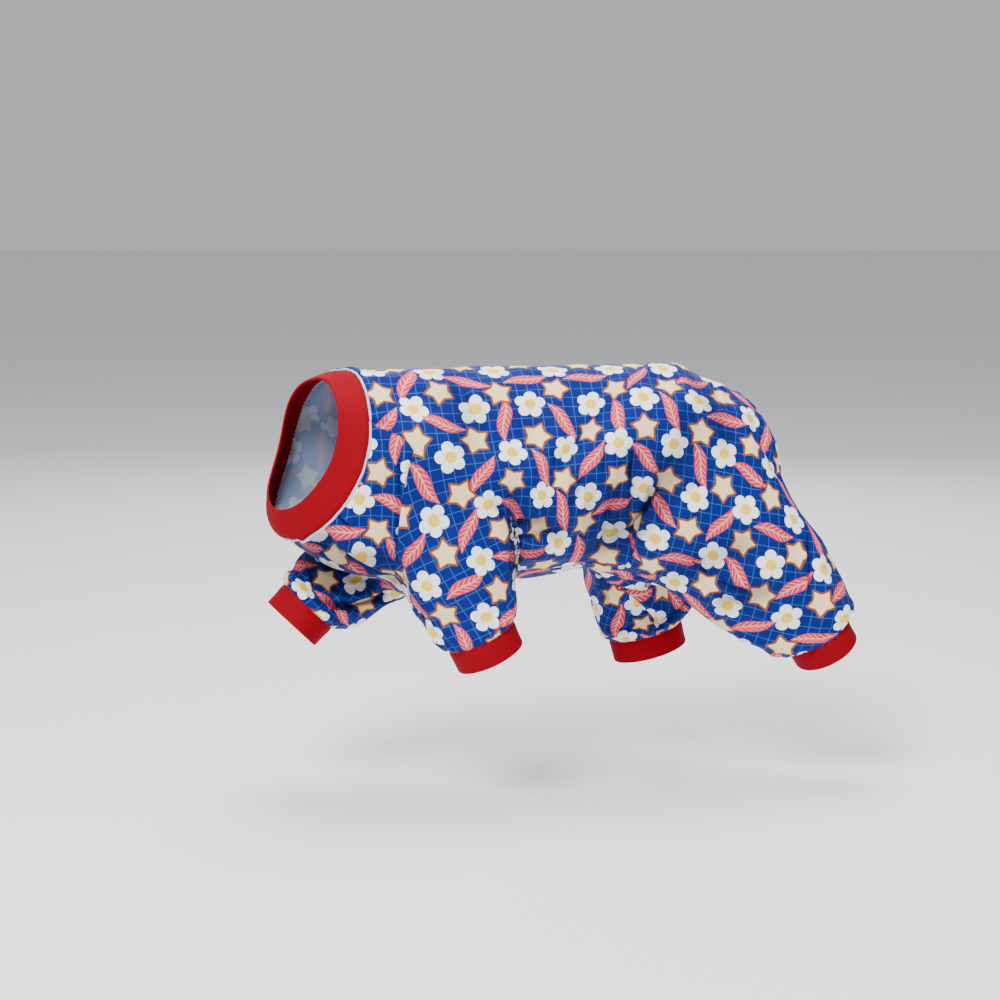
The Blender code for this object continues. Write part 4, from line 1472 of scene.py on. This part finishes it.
def printed_cloth(name):
    material, tree, shader = new_material(name)
    x, y = flat_place(tree, "cloth")
    colour = print_colour(tree, x, y)
    # Painted shade: the cloth darkens towards a dark blue in its seam grooves and its fold
    # valleys.
    for mark, darkens in (("seam_painted_shade", SEAM_SHADE_SHARE), ("fold_painted_shade", FOLD_SHADE_SHARE)):
        colour = mixed(tree, attribute_number(tree, mark) * darkens, colour, PAINTED_SHADE_BLUE)
    tree.links.new(colour, shader.inputs["Base Color"])
    rough = noise_number(tree, x, y, SHINE_PATCH) * ROUGHNESS_SPREAD + ROUGHNESS_LEAST
    tree.links.new(rough.source, shader.inputs["Roughness"])
    shader.inputs["Specular IOR Level"].default_value = CLOTH_SPECULAR
    raise_surface(tree, shader, weave_height(tree, x, y), WEAVE_DEPTH, WEAVE_STRENGTH)
    return material


def wrong_side(name):
    """The unprinted side: the print shows faintly through a pale blue."""
    material, tree, shader = new_material(name)
    x, y = flat_place(tree, "cloth")
    tone = noise_number(tree, x, y, REVERSE_PATCH)
    pale = mixed(tree, tone, scaled(WRONG_SIDE, REVERSE_DARKEST), WRONG_SIDE)
    colour = mixed(tree, PRINT_THROUGH, pale, print_colour(tree, x, y))
    tree.links.new(colour, shader.inputs["Base Color"])
    shader.inputs["Roughness"].default_value = REVERSE_ROUGHNESS
    raise_surface(tree, shader, weave_height(tree, x, y), WEAVE_DEPTH, WEAVE_STRENGTH)
    return material


def grain_number(tree, scale):
    """A fine speckle that keeps to the object's own space."""
    where = tree.nodes.new("ShaderNodeTexCoord")
    speckle = tree.nodes.new("ShaderNodeTexNoise")
    speckle.inputs["Scale"].default_value = scale
    tree.links.new(where.outputs["Object"], speckle.inputs["Vector"])
    return Number(tree, speckle.outputs["Fac"])


def rib_knit(name, ribs_per_column):
    """Red rib knit: fine ribs that run across the band, under a fine grain."""
    material, tree, shader = new_material(name)
    column, _ = flat_place(tree, "place")
    ribs = (column * (2 * math.pi * ribs_per_column)).step("COSINE")
    height = ribs * 0.5 + 0.5
    grain = grain_number(tree, RIB_GRAIN_SCALE)
    # The rib valleys are darkened as painted shade, and the grain darkens the red at random.
    colour = mixed(tree, height * RIB_VALLEY_SHADE + grain * GRAIN_TONE, RIB_SHADE_AND_GRAIN_RED, RIB_RED)
    tree.links.new(colour, shader.inputs["Base Color"])
    shader.inputs["Roughness"].default_value = RIB_ROUGHNESS
    shader.inputs["Specular IOR Level"].default_value = RIB_SPECULAR
    relief = height * RIB_RELIEF + grain * GRAIN_RELIEF
    raise_surface(tree, shader, relief, RIB_DEPTH, RIB_STRENGTH)
    return material


def thread_material(name, colour):
    material, tree, shader = new_material(name)
    grain = grain_number(tree, THREAD_GRAIN_SCALE)
    patches = grain.over(0.5, THREAD_GRAIN_SOFT)
    tone = mixed(tree, patches, scaled(colour, THREAD_DARKEST), colour)
    tree.links.new(tone, shader.inputs["Base Color"])
    shader.inputs["Roughness"].default_value = THREAD_ROUGHNESS
    raise_surface(tree, shader, grain, THREAD_DEPTH)
    return material


# Stitches.

def closed_tube(name, path, radius, sides, material):
    """A closed tube of thread along a loop of points."""
    path = np.array(path)
    points, faces = [], []
    count = len(path)
    for i in range(count):
        along = path[(i + 1) % count] - path[i - 1]
        along /= np.linalg.norm(along)
        side = np.cross(along, NEVER_ALONG_THREAD)
        side /= np.linalg.norm(side)
        up = np.cross(side, along)
        for k in range(sides):
            angle = 2 * math.pi * k / sides
            points.append(path[i] + (side * math.cos(angle) + up * math.sin(angle)) * radius)
    for i in range(count):
        for k in range(sides):
            a, b = i * sides + k, i * sides + (k + 1) % sides
            c, d = (i + 1) % count * sides + (k + 1) % sides, (i + 1) % count * sides + k
            faces.append([a, b, c, d])
    mesh = bpy.data.meshes.new(name)
    mesh.from_pydata([tuple(p) for p in points], [], faces)
    mesh.materials.append(material)
    mesh.shade_smooth()
    tube = bpy.data.objects.new(name, mesh)
    bpy.context.scene.collection.objects.link(tube)
    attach(tube, "root")
    return tube


def trim_loop(mesh, names, trim):
    """The seam of a trim with the cloth, in order."""
    index = names.index(trim)
    beside = {}
    for (a, b), found in edge_sides(mesh).items():
        panels = [panel for panel, _ in found]
        if len(panels) == 2 and index in panels and panels[0] != panels[1]:
            beside.setdefault(a, []).append(b)
            beside.setdefault(b, []).append(a)
    start = min(beside)
    loop, before = [start], None
    while True:
        onward = [i for i in beside[loop[-1]] if i != before]
        before = loop[-1]
        if onward[0] == start or len(loop) > len(beside):
            return loop
        loop.append(onward[0])


def spread_evenly(path, count):
    """That many points, evenly spaced round a closed path."""
    path = np.array(path)
    closed = np.vstack([path, path[:1]])
    reach = np.concatenate([[0], np.cumsum(np.linalg.norm(np.diff(closed, axis=0), axis=1))])
    wanted = np.linspace(0, reach[-1], count, endpoint=False)
    return np.stack([np.interp(wanted, reach, closed[:, k]) for k in range(3)], axis=-1)


def trim_ways(mesh, loop, index):
    """At each point of a trim's seam, the way that leads along the cloth, off the trim."""
    co = points_of(mesh)
    normals = normals_of(mesh)
    centres = {}
    for polygon in mesh.polygons:
        if polygon.material_index == index:
            for i in polygon.vertices:
                centres.setdefault(i, []).append(np.array(polygon.center))
    ways = []
    for i in loop:
        way = co[i] - np.mean(centres[i], axis=0)
        way -= normals[i] * (way @ normals[i])
        ways.append(way / np.linalg.norm(way))
    return np.array(ways)


def add_stitches(mesh, names):
    """The pale overlocked edge outside the neck seam and the threads inside it."""
    co, normals = points_of(mesh), normals_of(mesh)
    index = names.index("neck_rib")
    loop = trim_loop(mesh, names, "neck_rib")
    ways = trim_ways(mesh, loop, index)
    edge = co[loop] + normals[loop] * NECK_EDGE_LIFT + ways * NECK_EDGE_OFF_RIB
    pale = thread_material("pale_thread", THREAD_PALE)
    closed_tube("neck_seam_edge", edge, NECK_EDGE_RADIUS, NECK_EDGE_SIDES, pale)
    inside = co[loop] - normals[loop] * (RIB_THICKNESS + OVERLOCK_GAP)
    near = spread_evenly(inside + ways * OVERLOCK_ON_CLOTH, OVERLOCK_STITCHES)
    far = spread_evenly(inside - ways * OVERLOCK_ON_RIB, OVERLOCK_STITCHES)
    zigzag = [p for pair in zip(near, far) for p in pair]
    closed_tube("neck_overlock_thread", zigzag, OVERLOCK_RADIUS, OVERLOCK_SIDES, pale)


def worn_cloth():
    """The worn cloth's surface, its panels' names and flat sizes, its wrong side and its painted
    shade.
    """
    cage, names = cage_mesh(*build_cage())
    mesh = subdivided(cage, SETTLE_LEVELS, False)
    sizes = flatten_cloth(mesh, names)
    held = trim_points(mesh, names)
    smooth_co, normals = points_of(mesh), normals_of(mesh)
    tree = bvhtree.BVHTree.FromPolygons(smooth_co.tolist(), face_list(mesh))
    drops = fold_drops(smooth_co, normals)
    drops[held] = 0
    set_points(mesh, smooth_co - normals * drops[:, None] * FOLD_GAIN)
    set_points(mesh, settled(mesh, smooth_co, normals, held))
    mesh = subdivided(mesh, FINISH_LEVELS, True)
    co, normals = points_of(mesh), normals_of(mesh)
    moved, reverse_co, depth = creased(co, normals, tree)
    # How much painted shade each point gets from the crease and fold valleys it lies in.
    depth = np.clip(np.maximum(depth, fold_drops(co, normals) / FOLD_DROP_AT_FULL_SHADE), 0, 1)
    set_points(mesh, moved)
    away, lifts = finish_surface(mesh, names)
    # Painted shade: dark in the seam grooves and in the fold and crease valleys.
    painted_shades = {"seam_painted_shade": np.exp(-(away / SEAM_SHADE_WIDTH) ** 2), "fold_painted_shade": depth}
    return mesh, names, sizes, (reverse_co + lifts, normals), painted_shades


def cloth_kinds():
    """Each kind of cloth's thickness and its materials, the right side's first."""
    neck_knit = rib_knit("red_rib", NECK_RIBS)
    cuff_knit = rib_knit("red_rib_cuff", CUFF_RIBS)
    printed = printed_cloth("printed_cloth")
    reverse = wrong_side("cloth_wrong_side")
    return {
        "neck_rib": (RIB_THICKNESS, (neck_knit, neck_knit)),
        "cuff": (RIB_THICKNESS, (cuff_knit, cuff_knit)),
        "rear_elastic_hem": (HEM_THICKNESS, (printed, printed)),
        "panel": (CLOTH_THICKNESS, (printed, reverse)),
    }


def state_flat_size(name, area, sizes):
    """Works out a panel's flat width from its cut, and a trim's flat length and height from its
    strip, but keeps none of them.
    """
    if name in sizes:
        width, length, flat_area = sizes[name]
        if flat_area < LEAST_BOX_SHARE * width * length:
            width = flat_area / length
    else:
        height = TRIM_HEIGHTS.get(name, CUFF_HEIGHT)
        area / height
        height + SEAM_TAKEN_IN


def main():
    make_camera()
    make_studio()
    mesh, names, sizes, reverse_sides, painted_shades = worn_cloth()
    kinds = cloth_kinds()
    for index, name in enumerate(names):
        kind = "cuff" if name.endswith("cuff") else name
        thickness, materials = kinds.get(kind, kinds["panel"])
        piece, area = panel_piece(name, mesh, index, reverse_sides, painted_shades, thickness, materials)
        state_flat_size(name, area, sizes)
    add_stitches(mesh, names)


main()
